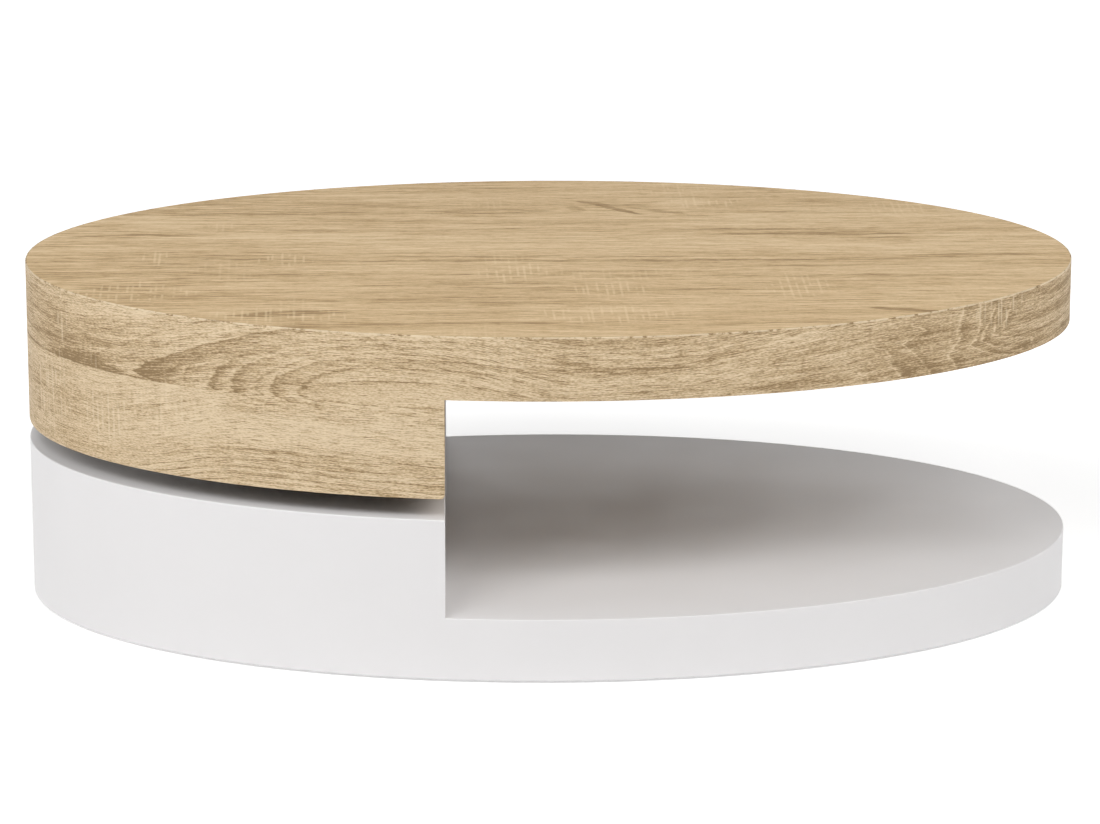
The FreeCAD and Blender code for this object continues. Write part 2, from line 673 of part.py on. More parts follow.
def build_top_board():
    """Makes the table top: panel, frame, soffit and edge band. Returns the rails by side and the
    plane of their left ends."""
    height = "top_board_height - soffit_thickness - top_panel_thickness"
    _, rails, rail_left = frame("top", CORE_INSET, SOFFIT_TOP, height)
    oval_slab("overhang_soffit", CORE_INSET, BOARD_UNDER, "soffit_thickness", left=CUT_X)
    oval_slab("top_panel", CORE_INSET, TOP_PANEL_UNDER, "top_panel_thickness")
    band = oval_slab("top_edge_band", "0", DROP_UNDER, "drop_height + top_board_height", hollow=BAND_INSET)
    overhang = new_sketch(band, DROP_UNDER)
    add_rectangle(overhang, CUT_X, "table_length", "-table_depth", "table_depth")
    add_pocket(band, overhang, "drop_height", upward=True)
    outside = [value("table_length / 2")]
    dress_edges(band, "Fillet", "Radius", "drop_corner_radius", lambda edge: is_straight(edge, DROP_UNDER))
    dress_edges(band, "Fillet", "Radius", "band_edge_radius", lambda edge: is_oval(edge, TABLE_TOP, outside))
    return rails, rail_left


def build_drop(rails, rail_left):
    """Makes the block that hangs under the closed end of the table top."""
    floor = oval_slab("drop_bottom_panel", CORE_INSET, DROP_UNDER, "drop_bottom_thickness", right=DROP_FACE_X)
    drill(floor, DROP_UNDER, RACE_SCREW_SPOTS, SCREW_HOLE, RACE_SCREW_HOLE_DEPTH, upward=True)
    drill(floor, DROP_FLOOR, [PIVOT], f"{BUSH_DIAMETER} + 2 * fit_clearance")
    height = f"{SOFFIT_TOP} - ({DROP_FLOOR})"
    wall = f"{CORE_INSET} + drop_wall_thickness"
    oval_slab("drop_wall", CORE_INSET, DROP_FLOOR, height, hollow=wall, right=DROP_FACE_X)
    face = oval_slab("drop_face_panel", CORE_INSET, DROP_UNDER, "drop_height + soffit_thickness",
                     left=DROP_FACE_X, right=CUT_X)
    dress_edges(face, "Fillet", "Radius", "drop_corner_radius",
                lambda edge: is_straight(edge, DROP_UNDER) and matches(edge.BoundBox.XMax, value(CUT_X)))
    web_left = f"-{oval_reach(wall, RAIL_OUTER_Y)}"
    webs = rail_pair("drop_rib", web_left, DROP_FACE_X, DROP_FLOOR, height)
    dowels("drop_dowels", rail_left, DROP_FACE_X, SOFFIT_TOP, webs, rails)


def export_nodes():
    """Checks every document object and writes each sub-part to its own STEP file."""
    doc.recompute()
    for item in doc.Objects:
        if "Invalid" in item.State or "Error" in item.State:
            raise RuntimeError(f"{item.Label} did not compute")
    os.makedirs("parts", exist_ok=True)
    for node in nodes:
        if node.Shape.isNull() or not node.Shape.isValid():
            raise RuntimeError(f"{node.Label} has no valid shape")
        node.Shape.exportStep(f"parts/{node.Label}.step")


base_rails, base_rail_left = build_base_board()
build_pedestal(base_rails, base_rail_left)
build_swivel()
top_rails, top_rail_left = build_top_board()
build_drop(top_rails, top_rail_left)
export_nodes()
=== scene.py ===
"""Dresses the oval swivel coffee table: oak-decor upper half, white lower half and the ball race between."""

import logging
import math
from collections.abc import Sequence
from dataclasses import dataclass, replace
from enum import Enum

import bmesh
import bpy
from mathutils import Matrix, Vector


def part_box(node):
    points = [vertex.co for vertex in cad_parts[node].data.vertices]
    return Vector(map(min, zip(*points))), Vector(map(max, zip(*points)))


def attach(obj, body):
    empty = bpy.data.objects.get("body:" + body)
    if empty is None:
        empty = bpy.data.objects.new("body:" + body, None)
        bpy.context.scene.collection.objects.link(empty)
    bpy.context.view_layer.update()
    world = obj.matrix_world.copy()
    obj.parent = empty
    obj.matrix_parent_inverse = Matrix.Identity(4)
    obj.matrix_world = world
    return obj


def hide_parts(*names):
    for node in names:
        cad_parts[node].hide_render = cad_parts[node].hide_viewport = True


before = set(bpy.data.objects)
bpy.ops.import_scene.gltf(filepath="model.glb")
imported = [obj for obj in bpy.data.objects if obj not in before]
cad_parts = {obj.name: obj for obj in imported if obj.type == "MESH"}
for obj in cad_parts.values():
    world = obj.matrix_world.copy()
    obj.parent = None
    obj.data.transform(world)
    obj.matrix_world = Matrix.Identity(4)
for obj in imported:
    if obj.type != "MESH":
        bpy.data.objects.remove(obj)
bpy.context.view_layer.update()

LOG = logging.getLogger("coffee_table")
GRAIN_MAP = "Grain"
NOISE_MIDDLE = 0.5
NOISE_SPREAD = (0.3, 0.7)
WHITE = (1.0, 1.0, 1.0, 1.0)

Colour = tuple[float, float, float]
Spot = tuple[float, float]
Socket = bpy.types.NodeSocket
Feed = float | tuple[float, ...] | Socket


class Body(Enum):
    """The moving halves of the table, by the names of their CAD bodies."""

    BASE = "base"
    CAGE = "cage"
    TOP = "top"


class Slot(Enum):
    """The record's material slots."""

    OAK = "oak_decor"
    LACQUER = "white_lacquer"
    FIBREBOARD = "raw_fibreboard"
    BEECH = "beech"
    ALUMINIUM = "race_aluminium"
    STEEL = "zinc_steel"
    NYLON = "nylon"
    GLIDE = "glide_plastic"


class GrainAxes(Enum):
    """Which object axes run along and across the grain of a flat piece."""

    LENGTH_DEPTH = ("X", "Y")
    DEPTH_HEIGHT = ("Y", "Z")


@dataclass(frozen=True)
class Fade:
    """A change between two places or values, from a low level to a high one."""

    start: float
    end: float
    low: float = 0.0
    high: float = 1.0
    smooth: bool = True


@dataclass(frozen=True)
class Wave:
    """A push that makes drawn lines waver: its pattern's number, its waves' size and its reach, in metres."""

    pattern: float
    length: float
    width: float
    reach: float


@dataclass(frozen=True)
class Layer:
    """A layer of drawn-out noise: its pattern's number, its features' size, finer layers and strength."""

    pattern: float
    length: float
    width: float
    detail: float
    strength: float = 1.0


@dataclass(frozen=True)
class ThreadLook:
    """Thin dark and pale lines along the grain, which come in patches."""

    length: float
    width: float
    breadth: float
    strength: float
    dark_pattern: float = 8.0
    pale_pattern: float = 9.0
    patch_pattern: float = 7.0
    patch_lengths: float = 0.8
    patch_widths: float = 4.0
    dark_patches: Fade = Fade(0.2, 0.7, smooth=False)
    pale_patches: Fade = Fade(0.3, 0.8, 0.6, 0.1, False)


@dataclass(frozen=True)
class Palette:
    """The colours of a decor from its darkest tone to its palest, and that of its saw ticks."""

    deep: Colour
    dark: Colour
    middle: Colour
    pale: Colour
    ticks: Colour = (0.800, 0.630, 0.390)
    places: tuple[float, ...] = (0.0, 0.28, 0.58, 0.95)


@dataclass(frozen=True)
class Streak:
    """A pointed streak in the decor, in metres along and across the grain; a pale one has a depth below 0."""

    middle: Spot
    half_length: float
    half_height: float
    slope: float = 0.0
    depth: float = 0.3
    edge: float = 0.6


@dataclass(frozen=True)
class TickField:
    """A cluster of pale saw ticks in the decor, in metres along and across the grain."""

    middle: Spot
    half_length: float
    half_height: float
    strength: float = 1.0
    margin: Spot = (1.15, 1.25)

    def outline(self) -> Streak:
        """Returns the streak that holds the cluster with its ragged ends."""
        length, height = self.half_length * self.margin[0], self.half_height * self.margin[1]
        return Streak(self.middle, length, height, depth=self.strength)


@dataclass(frozen=True)
class Plank:
    """The lower border of a plank in the decor, in metres, and how much paler it is than the last one."""

    border: float
    paler: float


@dataclass(frozen=True)
class Ring:
    """A growth ring of a figure: its radius, its shade's reach, and how dark its shade and line are."""

    radius: float
    reach: float
    shade: float
    line: float


@dataclass(frozen=True)
class Ridge:
    """A pale zig-zag line that climbs across the board, with shade to its right.

    The turns are pairs of places along and across the grain, in metres, from the lowest to the highest.
    """

    turns: tuple[Spot, ...]
    width: float
    shade: float


class Graph:
    """Adds and joins the nodes of one shader tree."""

    def __init__(self, tree: bpy.types.NodeTree) -> None:
        """Takes the tree to work on."""
        self.tree = tree

    def node(self, kind: str, **settings: object) -> bpy.types.Node:
        """Adds a node.

        Args:
            kind: Blender's type name of the node.
            settings: properties of the node and their values.

        Returns:
            The new node.
        """
        made = self.tree.nodes.new(kind)
        for name, value in settings.items():
            setattr(made, name, value)
        return made

    def feed(self, socket: Socket, value: Feed) -> None:
        """Links a socket to another one, or sets its own value.

        Args:
            socket: the input to feed.
            value: an output socket or a plain value.
        """
        if isinstance(value, bpy.types.NodeSocket):
            self.tree.links.new(value, socket)
        else:
            socket.default_value = value

    def math(self, operation: str, *values: Feed, clamp: bool = False) -> Socket:
        """Adds a Math node.

        Args:
            operation: Blender's name of the operation.
            values: up to three inputs.
            clamp: whether the result stays between 0 and 1.

        Returns:
            The result.
        """
        made = self.node("ShaderNodeMath", operation=operation, use_clamp=clamp)
        for socket, value in zip(made.inputs, values):
            self.feed(socket, value)
        return made.outputs[0]

    def chain(self, operation: str, values: Sequence[Feed]) -> Feed:
        """Joins values by one operation, from the first to the last.

        Args:
            operation: Blender's name of the operation.
            values: one value or more.

        Returns:
            The result.
        """
        total = values[0]
        for value in values[1:]:
            total = self.math(operation, total, value)
        return total

    def add(self, *values: Feed) -> Feed:
        """Returns the sum of some values."""
        return self.chain("ADD", values)

    def product(self, *values: Feed) -> Feed:
        """Returns the product of some values."""
        return self.chain("MULTIPLY", values)

    def highest(self, *values: Feed) -> Feed:
        """Returns the highest of some values."""
        return self.chain("MAXIMUM", values)

    def minus(self, first: Feed, second: Feed) -> Socket:
        """Returns the first value less the second."""
        return self.math("SUBTRACT", first, second)

    def over(self, first: Feed, second: Feed) -> Socket:
        """Returns the first value divided by the second."""
        return self.math("DIVIDE", first, second)

    def size(self, value: Feed) -> Socket:
        """Returns a value without its sign."""
        return self.math("ABSOLUTE", value)

    def swing(self, noise: Feed, *reach: Feed) -> Feed:
        """Returns how far some noise lies from its middle, times a reach."""
        return self.product(self.minus(noise, NOISE_MIDDLE), *reach)

    def remap(self, value: Feed, low: Feed, high: Feed, to_low: Feed = 0.0, to_high: Feed = 1.0,
              smooth: bool = False) -> Socket:
        """Maps a value from one range to another and holds it there.

        Args:
            value: the value to map.
            low: start of its range.
            high: end of its range.
            to_low: result at the start.
            to_high: result at the end.
            smooth: whether the result eases in and out.

        Returns:
            The mapped value.
        """
        made = self.node("ShaderNodeMapRange", clamp=True)
        made.interpolation_type = "SMOOTHSTEP" if smooth else "LINEAR"
        for socket, item in zip(made.inputs, (value, low, high, to_low, to_high)):
            self.feed(socket, item)
        return made.outputs[0]

    def fade(self, value: Feed, fade: Fade) -> Socket:
        """Returns the level of a fade at a value."""
        return self.remap(value, fade.start, fade.end, fade.low, fade.high, fade.smooth)

    def tint(self, value: Feed, stops: Sequence[tuple[float, Colour]]) -> Socket:
        """Maps a value between 0 and 1 to colours.

        Args:
            value: the value to map.
            stops: pairs of place and colour, in order.

        Returns:
            The colour.
        """
        made = self.node("ShaderNodeValToRGB")
        elements = made.color_ramp.elements
        while len(elements) < len(stops):
            elements.new(1.0)
        for element, (place, colour) in zip(elements, stops):
            element.position = place
            element.color = (*colour, 1.0)
        self.feed(made.inputs[0], value)
        return made.outputs[0]

    def mixed(self, factor: Feed, first: Feed, second: Feed) -> Socket:
        """Blends two colours.

        Args:
            factor: share of the second colour.
            first: colour at 0.
            second: colour at 1.

        Returns:
            The blended colour.
        """
        made = self.node("ShaderNodeMix", data_type="RGBA")
        colours = [item for item in made.inputs if item.type == "RGBA"]
        self.feed(made.inputs[0], factor)
        for socket, value in zip(colours, (first, second)):
            self.feed(socket, (*value, 1.0) if isinstance(value, tuple) else value)
        return next(item for item in made.outputs if item.type == "RGBA")

    def split(self, vector: Socket) -> tuple[Socket, Socket, Socket]:
        """Takes a vector apart.

        Args:
            vector: the vector.

        Returns:
            Its three parts.
        """
        made = self.node("ShaderNodeSeparateXYZ")
        self.feed(made.inputs[0], vector)
        return made.outputs[0], made.outputs[1], made.outputs[2]

    def vector(self, *parts: Feed) -> Socket:
        """Joins three values.

        Args:
            parts: the values.

        Returns:
            The vector.
        """
        made = self.node("ShaderNodeCombineXYZ")
        for socket, value in zip(made.inputs, parts):
            self.feed(socket, value)
        return made.outputs[0]

    def noise(self, vector: Feed, scale: Feed, detail: Feed = 2.0, roughness: float = 0.5) -> Socket:
        """Adds a noise texture.

        Args:
            vector: where it is read.
            scale: how many features there are for each metre.
            detail: number of finer layers.
            roughness: strength of the finer layers.

        Returns:
            The noise, about 0.5.
        """
        made = self.node("ShaderNodeTexNoise")
        names = ("Vector", "Scale", "Detail", "Roughness")
        for name, value in zip(names, (vector, scale, detail, roughness)):
            self.feed(made.inputs[name], value)
        return made.outputs["Fac"]


class Effect:
    """A shared effect, which is built once as a shader node group."""

    title: str
    inputs: tuple[str, ...]
    outputs: tuple[str, ...]

    def __init__(self) -> None:
        """Starts without the group."""
        self.tree: bpy.types.NodeTree | None = None

    def draw(self, graph: Graph, given: Sequence[Socket]) -> Sequence[Socket]:
        """Draws the group's nodes.

        Args:
            graph: the group's graph.
            given: its inputs in order.

        Returns:
            A socket for each output.
        """
        raise NotImplementedError

    def build(self) -> bpy.types.NodeTree:
        """Builds the group.

        Returns:
            The group's tree.
        """
        tree = bpy.data.node_groups.new(self.title, "ShaderNodeTree")
        for side, labels in (("INPUT", self.inputs), ("OUTPUT", self.outputs)):
            for label in labels:
                tree.interface.new_socket(label, in_out=side, socket_type="NodeSocketFloat")
        graph = Graph(tree)
        entry = graph.node("NodeGroupInput")
        leave = graph.node("NodeGroupOutput")
        drawn = self.draw(graph, [entry.outputs[label] for label in self.inputs])
        for label, socket in zip(self.outputs, drawn):
            graph.feed(leave.inputs[label], socket)
        return tree

    def place(self, graph: Graph, *values: Feed) -> list[Socket]:
        """Places the group in a graph.

        Args:
            graph: the graph.
            values: the group's inputs in order.

        Returns:
            The group's outputs in order.
        """
        if self.tree is None:
            self.tree = self.build()
        made = graph.node("ShaderNodeGroup", node_tree=self.tree)
        for label, value in zip(self.inputs, values):
            graph.feed(made.inputs[label], value)
        return [made.outputs[label] for label in self.outputs]

    def value(self, graph: Graph, *values: Feed) -> Socket:
        """Places the group in a graph and returns its first output."""
        return self.place(graph, *values)[0]


class FibreEffect(Effect):
    """Noise drawn out along the grain: streaks, fibres or pores by its length and width."""

    title = "Stretched fibres"
    inputs = ("Along", "Across", "Seed", "Length", "Width", "Detail")
    outputs = ("Value",)
    roughness = 0.55

    def draw(self, graph: Graph, given: Sequence[Socket]) -> Sequence[Socket]:
        """Draws the group's nodes.

        Args:
            graph: the group's graph.
            given: its inputs in order.

        Returns:
            The noise.
        """
        along, across, seed, length, width, detail = given
        place = graph.vector(graph.over(along, length), graph.over(across, width), seed)
        return [graph.noise(place, 1.0, detail, self.roughness)]


class ThreadEffect(Effect):
    """Thin lines along the grain, where drawn-out noise passes its middle value."""

    title = "Grain threads"
    inputs = ("Along", "Across", "Seed", "Length", "Width", "Breadth")
    outputs = ("Mask",)

    def draw(self, graph: Graph, given: Sequence[Socket]) -> Sequence[Socket]:
        """Draws the group's nodes.

        Args:
            graph: the group's graph.
            given: its inputs in order.

        Returns:
            The lines' mask.
        """
        along, across, seed, length, width, breadth = given
        place = graph.vector(graph.over(along, length), graph.over(across, width), seed)
        return [graph.remap(graph.size(graph.swing(graph.noise(place, 1.0, 1.0))), breadth, 0.0)]


class LensEffect(Effect):
    """The mask of a pointed streak that lies along the grain."""

    title = "Pointed streak"
    inputs = ("Along", "Across", "Middle Along", "Middle Across", "Half Length", "Half Height", "Slope",
              "Edge")
    outputs = ("Mask",)

    def draw(self, graph: Graph, given: Sequence[Socket]) -> Sequence[Socket]:
        """Draws the group's nodes.

        Args:
            graph: the group's graph.
            given: its inputs in order.

        Returns:
            The streak's mask.
        """
        along, across, middle_along, middle_across, half_length, half_height, slope, edge = given
        run = graph.minus(along, middle_along)
        rise = graph.minus(graph.minus(across, middle_across), graph.product(run, slope))
        share = graph.over(run, half_length)
        room = graph.math("SUBTRACT", 1.0, graph.product(share, share), clamp=True)
        left = graph.minus(room, graph.size(graph.over(rise, half_height)))
        return [graph.remap(left, 0.0, edge, smooth=True)]


class TickEffect(Effect):
    """Pale strokes that a saw leaves square to the grain, in a mask."""

    title = "Saw ticks"
    inputs = ("Along", "Across", "Mask", "Pitch")
    outputs = ("Value",)
    lean = 0.025
    stray = (0.22, 0.78)
    stroke = Fade(0.24, 0.07)
    run = 3.4
    cell_step = 7.31
    pattern = 9.1
    kept = Fade(0.40, 0.54)

    def draw(self, graph: Graph, given: Sequence[Socket]) -> Sequence[Socket]:
        """Draws the group's nodes.

        Args:
            graph: the group's graph.
            given: its inputs in order.

        Returns:
            The strokes.
        """
        along, across, mask, pitch = given
        place = graph.over(graph.add(along, graph.product(across, self.lean)), pitch)
        cell = graph.math("FLOOR", place)
        chance = graph.node("ShaderNodeTexWhiteNoise", noise_dimensions="1D")
        graph.feed(chance.inputs["W"], cell)
        stray = graph.remap(chance.outputs["Value"], 0.0, 1.0, *self.stray)
        line = graph.fade(graph.size(graph.minus(graph.minus(place, cell), stray)), self.stroke)
        height = graph.over(across, graph.product(pitch, self.run))
        breaks = graph.noise(graph.vector(graph.product(cell, self.cell_step), height, self.pattern), 1.0)
        return [graph.product(line, graph.fade(breaks, self.kept), mask)]


class FigureEffect(Effect):
    """The distance from the eye of a flame figure; a roundness under 2 gives it straight, leaning flanks."""

    title = "Flame figure"
    inputs = ("Along", "Across", "Middle Along", "Middle Across", "Left Squeeze", "Right Squeeze",
              "Lower Squeeze", "Roundness")
    outputs = ("Distance",)

    def draw(self, graph: Graph, given: Sequence[Socket]) -> Sequence[Socket]:
        """Draws the group's nodes.

        Args:
            graph: the group's graph.
            given: its inputs in order.

        Returns:
            The distance.
        """
        along, across, middle_along, middle_across, left, right, lower, power = given
        run = graph.minus(along, middle_along)
        rise = graph.minus(across, middle_across)
        length = graph.product(run, graph.remap(graph.math("GREATER_THAN", run, 0.0), 0.0, 1.0, left, right))
        height = graph.product(rise, graph.remap(graph.math("GREATER_THAN", rise, 0.0), 0.0, 1.0, lower, 1.0))
        total = graph.add(*[graph.math("POWER", graph.size(item), power) for item in (length, height)])
        return [graph.math("POWER", total, graph.over(1.0, power))]


class RingEffect(Effect):
    """The darkness of one growth ring: a thin line with shade on the side that its reach is measured to."""

    title = "Growth ring"
    inputs = ("Distance", "Radius", "Reach", "Shade", "Line")
    outputs = ("Darkness",)
    border = Fade(0.0007, 0.0, smooth=False)
    stroke = Fade(0.0010, 0.0003, smooth=False)

    def draw(self, graph: Graph, given: Sequence[Socket]) -> Sequence[Socket]:
        """Draws the group's nodes.

        Args:
            graph: the group's graph.
            given: its inputs in order.

        Returns:
            The darkness.
        """
        distance, radius, reach, shade, line = given
        offset = graph.minus(distance, radius)
        room = graph.math("ADD", graph.over(offset, reach), 1.0, clamp=True)
        outer = graph.product(offset, graph.math("SIGN", reach))
        shaded = graph.product(room, room, graph.fade(outer, self.border), shade)
        return [graph.highest(shaded, graph.product(graph.fade(graph.size(offset), self.stroke), line))]


class SpeckleEffect(Effect):
    """An even fine speckle and a slow cloud, from a place in metres."""

    title = "Speckle"
    inputs = ("X", "Y", "Z", "Size")
    outputs = ("Fine", "Cloud")
    fine_detail = 3.0
    cloud_scale = 14.0

    def draw(self, graph: Graph, given: Sequence[Socket]) -> Sequence[Socket]:
        """Draws the group's nodes.

        Args:
            graph: the group's graph.
            given: its inputs in order.

        Returns:
            The speckle and the cloud.
        """
        x, y, z, size = given
        place = graph.vector(x, y, z)
        fine = graph.noise(place, graph.over(1.0, size), self.fine_detail)
        return [fine, graph.noise(place, self.cloud_scale)]


FIBRES = FibreEffect()
THREADS = ThreadEffect()
LENS = LensEffect()
TICKS = TickEffect()
FIGURE = FigureEffect()
RING = RingEffect()
SPECKLE = SpeckleEffect()


@dataclass(frozen=True)
class Grain:
    """A material's graph with the places along and across its grain, in metres."""

    graph: Graph
    seed: float
    along: Feed
    across: Feed

    def at(self, across: Feed) -> "Grain":
        """Returns the same grain, read at another place across it."""
        return replace(self, across=across)

    def fibres(self, seed: Feed, length: float, width: float, detail: float = 2.0) -> Socket:
        """Returns noise drawn out along the grain, about 0.5."""
        return FIBRES.value(self.graph, self.along, self.across, seed, length, width, detail)

    def layer(self, seed: Feed, layer: Layer) -> Socket:
        """Returns a layer of drawn-out noise, spread between 0 and 1."""
        noise = self.fibres(self.graph.add(seed, layer.pattern), layer.length, layer.width, layer.detail)
        return self.graph.remap(noise, *NOISE_SPREAD)

    def push(self, wave: Wave) -> Feed:
        """Returns a wave's push in metres."""
        noise = self.fibres(self.seed + wave.pattern, wave.length, wave.width)
        return self.graph.swing(noise, wave.reach)

    def wavered(self, *waves: Wave) -> Feed:
        """Returns the place across the grain, pushed by some waves."""
        return self.graph.add(self.across, *[self.push(wave) for wave in waves])

    def spots(self, pattern: float, scale: float, detail: float, roughness: float = 0.5) -> Socket:
        """Returns round noise, about 0.5."""
        place = self.graph.vector(self.along, self.across, self.seed + pattern)
        return self.graph.noise(place, scale, detail, roughness)

    def mark(self, streak: Streak) -> Feed:
        """Draws one streak.

        Args:
            streak: the streak.

        Returns:
            Its mask times its depth.
        """
        mask = LENS.value(self.graph, self.along, self.across, *streak.middle, streak.half_length,
                          streak.half_height, streak.slope, streak.edge)
        return self.graph.product(mask, streak.depth)


class Skin:
    """A new material with its graph and its shader."""

    def __init__(self, name: str) -> None:
        """Makes the material.

        Args:
            name: its name.
        """
        self.material = bpy.data.materials.new(name)
        self.material.use_nodes = True
        self.graph = Graph(self.material.node_tree)
        self.shader = next(node for node in self.material.node_tree.nodes if node.type == "BSDF_PRINCIPLED")

    def set(self, **values: Feed) -> None:
        """Feeds the shader's inputs, named with _ for a space."""
        for name, value in values.items():
            self.graph.feed(self.shader.inputs[name.replace("_", " ")], value)

    def place(self) -> tuple[Socket, Socket, Socket]:
        """Returns the three coordinates of the piece's own frame, in metres."""
        return self.graph.split(self.graph.node("ShaderNodeTexCoord").outputs["Object"])

    def speckle(self, size: float) -> list[Socket]:
        """Returns a fine speckle of a size in metres and a slow cloud."""
        return SPECKLE.place(self.graph, *self.place(), size)

    def bump(self, height: Feed, depth: float) -> None:
        """Raises the surface by a height.

        Args:
            height: height as a share of the depth.
            depth: full height in metres.
        """
        made = self.graph.node("ShaderNodeBump")
        for name, value in (("Strength", 1.0), ("Distance", depth), ("Height", height)):
            self.graph.feed(made.inputs[name], value)
        self.set(Normal=made.outputs["Normal"])


class Finish:
    """A surface of the table that becomes one material."""

    name: str
    slot: Slot

    def paint(self, skin: Skin) -> None:
        """Draws the finish.

        Args:
            skin: the material to draw in.
        """
        raise NotImplementedError

    def material(self) -> bpy.types.Material:
        """Makes the finish's material.

        Returns:
            The finished material.
        """
        skin = Skin(self.name)
        self.paint(skin)
        return skin.material


@dataclass(frozen=True)
class OakDecor(Finish):
    """Pale sawn-oak decor with fibres, pores, streaks and saw ticks."""

    name: str
    axes: GrainAxes | None = None
    seed: float = 0.0
    palette: Palette = Palette((0.275, 0.173, 0.074), (0.440, 0.294, 0.139), (0.610, 0.432, 0.229),
                               (0.755, 0.570, 0.335))
    tone: float = 0.60
    bands: Layer = Layer(1.0, 0.60, 0.030, 2.0, 0.34)
    lines: Layer = Layer(2.0, 0.16, 0.0050, 3.0, 0.36)
    fibres: Layer = Layer(3.0, 0.018, 0.0010, 2.0, 0.28)
    pores: Layer = Layer(4.0, 0.015, 0.0007, 1.0, 0.26)
    speckle: Layer = Layer(6.0, 0.0035, 0.0009, 1.0, 0.12)
    threads: ThreadLook = ThreadLook(0.26, 0.0100, 0.055, 0.20)
    pore_range: Fade = Fade(0.58, 0.86)
    slow_wave: Wave = Wave(31.0, 0.22, 0.09, 0.022)
    border_wave: Wave = Wave(32.0, 0.05, 0.02, 0.002)
    streak_wave: Wave = Wave(17.0, 0.030, 0.006, 0.006)
    fray_wave: Wave = Wave(18.0, 0.014, 0.0010, 0.003)
    fibre_bite: Fade = Fade(0.0, 1.0, 1.35, 0.60, False)
    fibre_follow: float = 0.5
    streaks: tuple[Streak, ...] = ()
    planks: tuple[Plank, ...] = ()
    plank_edge: float = 0.0002
    plank_step: float = 5.3
    ticks: tuple[TickField, ...] = ()
    tick_pitch: float = 0.0072
    tick_strength: float = 0.50
    tick_ragged: float = 0.055
    tick_ends: tuple[float, ...] = (6.0, 170.0, 1.0)
    chance_spots: tuple[float, ...] = (5.0, 9.0, 1.0)
    chance_ticks: Fade = Fade(0.60, 0.72, 0.0, 0.40)
    polish: Fade = Fade(0.0, 1.0, 0.66, 0.46, False)
    pore_polish: float = -0.4
    sheen: float = 0.25
    relief: float = 0.00006
    fibre_height: float = 0.35
    pore_height: float = -0.8
    tick_height: float = 0.3
    slot: Slot = Slot.OAK

    def grain(self, skin: Skin) -> Grain:
        """Finds the decor's grain.

        Args:
            skin: the material.

        Returns:
            The places along and across the grain.
        """
        graph = skin.graph
        if self.axes is None:
            along, across, _ = graph.split(graph.node("ShaderNodeUVMap", uv_map=GRAIN_MAP).outputs["UV"])
            return Grain(graph, self.seed, along, across)
        parts = dict(zip("XYZ", skin.place()))
        return Grain(graph, self.seed, *[parts[axis] for axis in self.axes.value])

    def plank_sum(self, grain: Grain, levels: Sequence[float]) -> Feed:
        """Adds up the planks' levels from the first plank to the one at each place.

        Args:
            grain: the grain.
            levels: a level for each plank.

        Returns:
            The sum.
        """
        edge = self.plank_edge
        steps = [Fade(plank.border - edge, plank.border + edge, 0.0, level, False)
                 for plank, level in zip(self.planks, levels)]
        return grain.graph.add(0.0, *[grain.graph.fade(grain.across, step) for step in steps])

    def plank_tone(self, grain: Grain) -> Feed:
        """Returns how far each plank's tone lies from the first one's."""
        return self.plank_sum(grain, [plank.paler for plank in self.planks])

    def bent(self, grain: Grain) -> Feed:
        """Returns the place across the grain with the slow waves of a grown board."""
        return grain.wavered(self.slow_wave)

    def lean(self, grain: Grain, bent: Grain) -> Feed:
        """Returns the place across the fibres, which follow the grain lines only in part."""
        share = grain.graph.product(grain.graph.minus(bent.across, grain.across), self.fibre_follow)
        return grain.graph.add(grain.across, share)

    def calm(self, grain: Grain) -> Feed:
        """Returns how much of the lines, threads and pores is left at each place."""
        return 1.0

    def rim(self, grain: Grain) -> Feed:
        """Returns how far a pale line is painted along the decor's edge."""
        return 0.0

    def shade(self, grain: Grain, bent: Grain) -> Feed:
        """Draws the decor's own figure.

        Args:
            grain: the straight grain.
            bent: the bent grain.

        Returns:
            How far it darkens each place.
        """
        graph = grain.graph
        frayed = grain.at(graph.add(grain.wavered(self.streak_wave), bent.push(self.fray_wave)))
        dark = [frayed.mark(streak) for streak in self.streaks if streak.depth > 0.0]
        pale = [frayed.mark(streak) for streak in self.streaks if streak.depth < 0.0]
        return graph.add(graph.highest(0.0, *dark), *pale)

    def tick_mask(self, grain: Grain) -> Feed:
        """Draws the saw ticks: the placed clusters and a few chance ones.

        Args:
            grain: the grain.

        Returns:
            The ticks' mask.
        """
        graph = grain.graph
        ragged = graph.swing(grain.at(0.0).spots(*self.tick_ends), self.tick_ragged)
        shifted = grain.at(graph.add(grain.across, ragged))
        chance = graph.fade(grain.spots(*self.chance_spots), self.chance_ticks)
        mask = graph.highest(chance, *[shifted.mark(cluster.outline()) for cluster in self.ticks])
        return TICKS.value(graph, grain.along, grain.across, mask, self.tick_pitch)

    def thread_tone(self, bent: Grain, seed: Feed) -> Feed:
        """Draws thin dark and pale lines that follow the grain in patches.

        Args:
            bent: the bent grain.
            seed: picks the pattern.

        Returns:
            The tone to add.
        """
        graph, look = bent.graph, self.threads
        patches = bent.layer(seed, Layer(look.patch_pattern, look.length * look.patch_lengths,
                                         look.width * look.patch_widths, 1.0))
        dark, pale = [THREADS.value(graph, bent.along, bent.across, graph.add(seed, pattern), look.length,
                                    look.width, look.breadth)
                      for pattern in (look.dark_pattern, look.pale_pattern)]
        return graph.add(graph.product(dark, graph.fade(patches, look.dark_patches), -look.strength),
                         graph.product(pale, graph.fade(patches, look.pale_patches), look.strength))

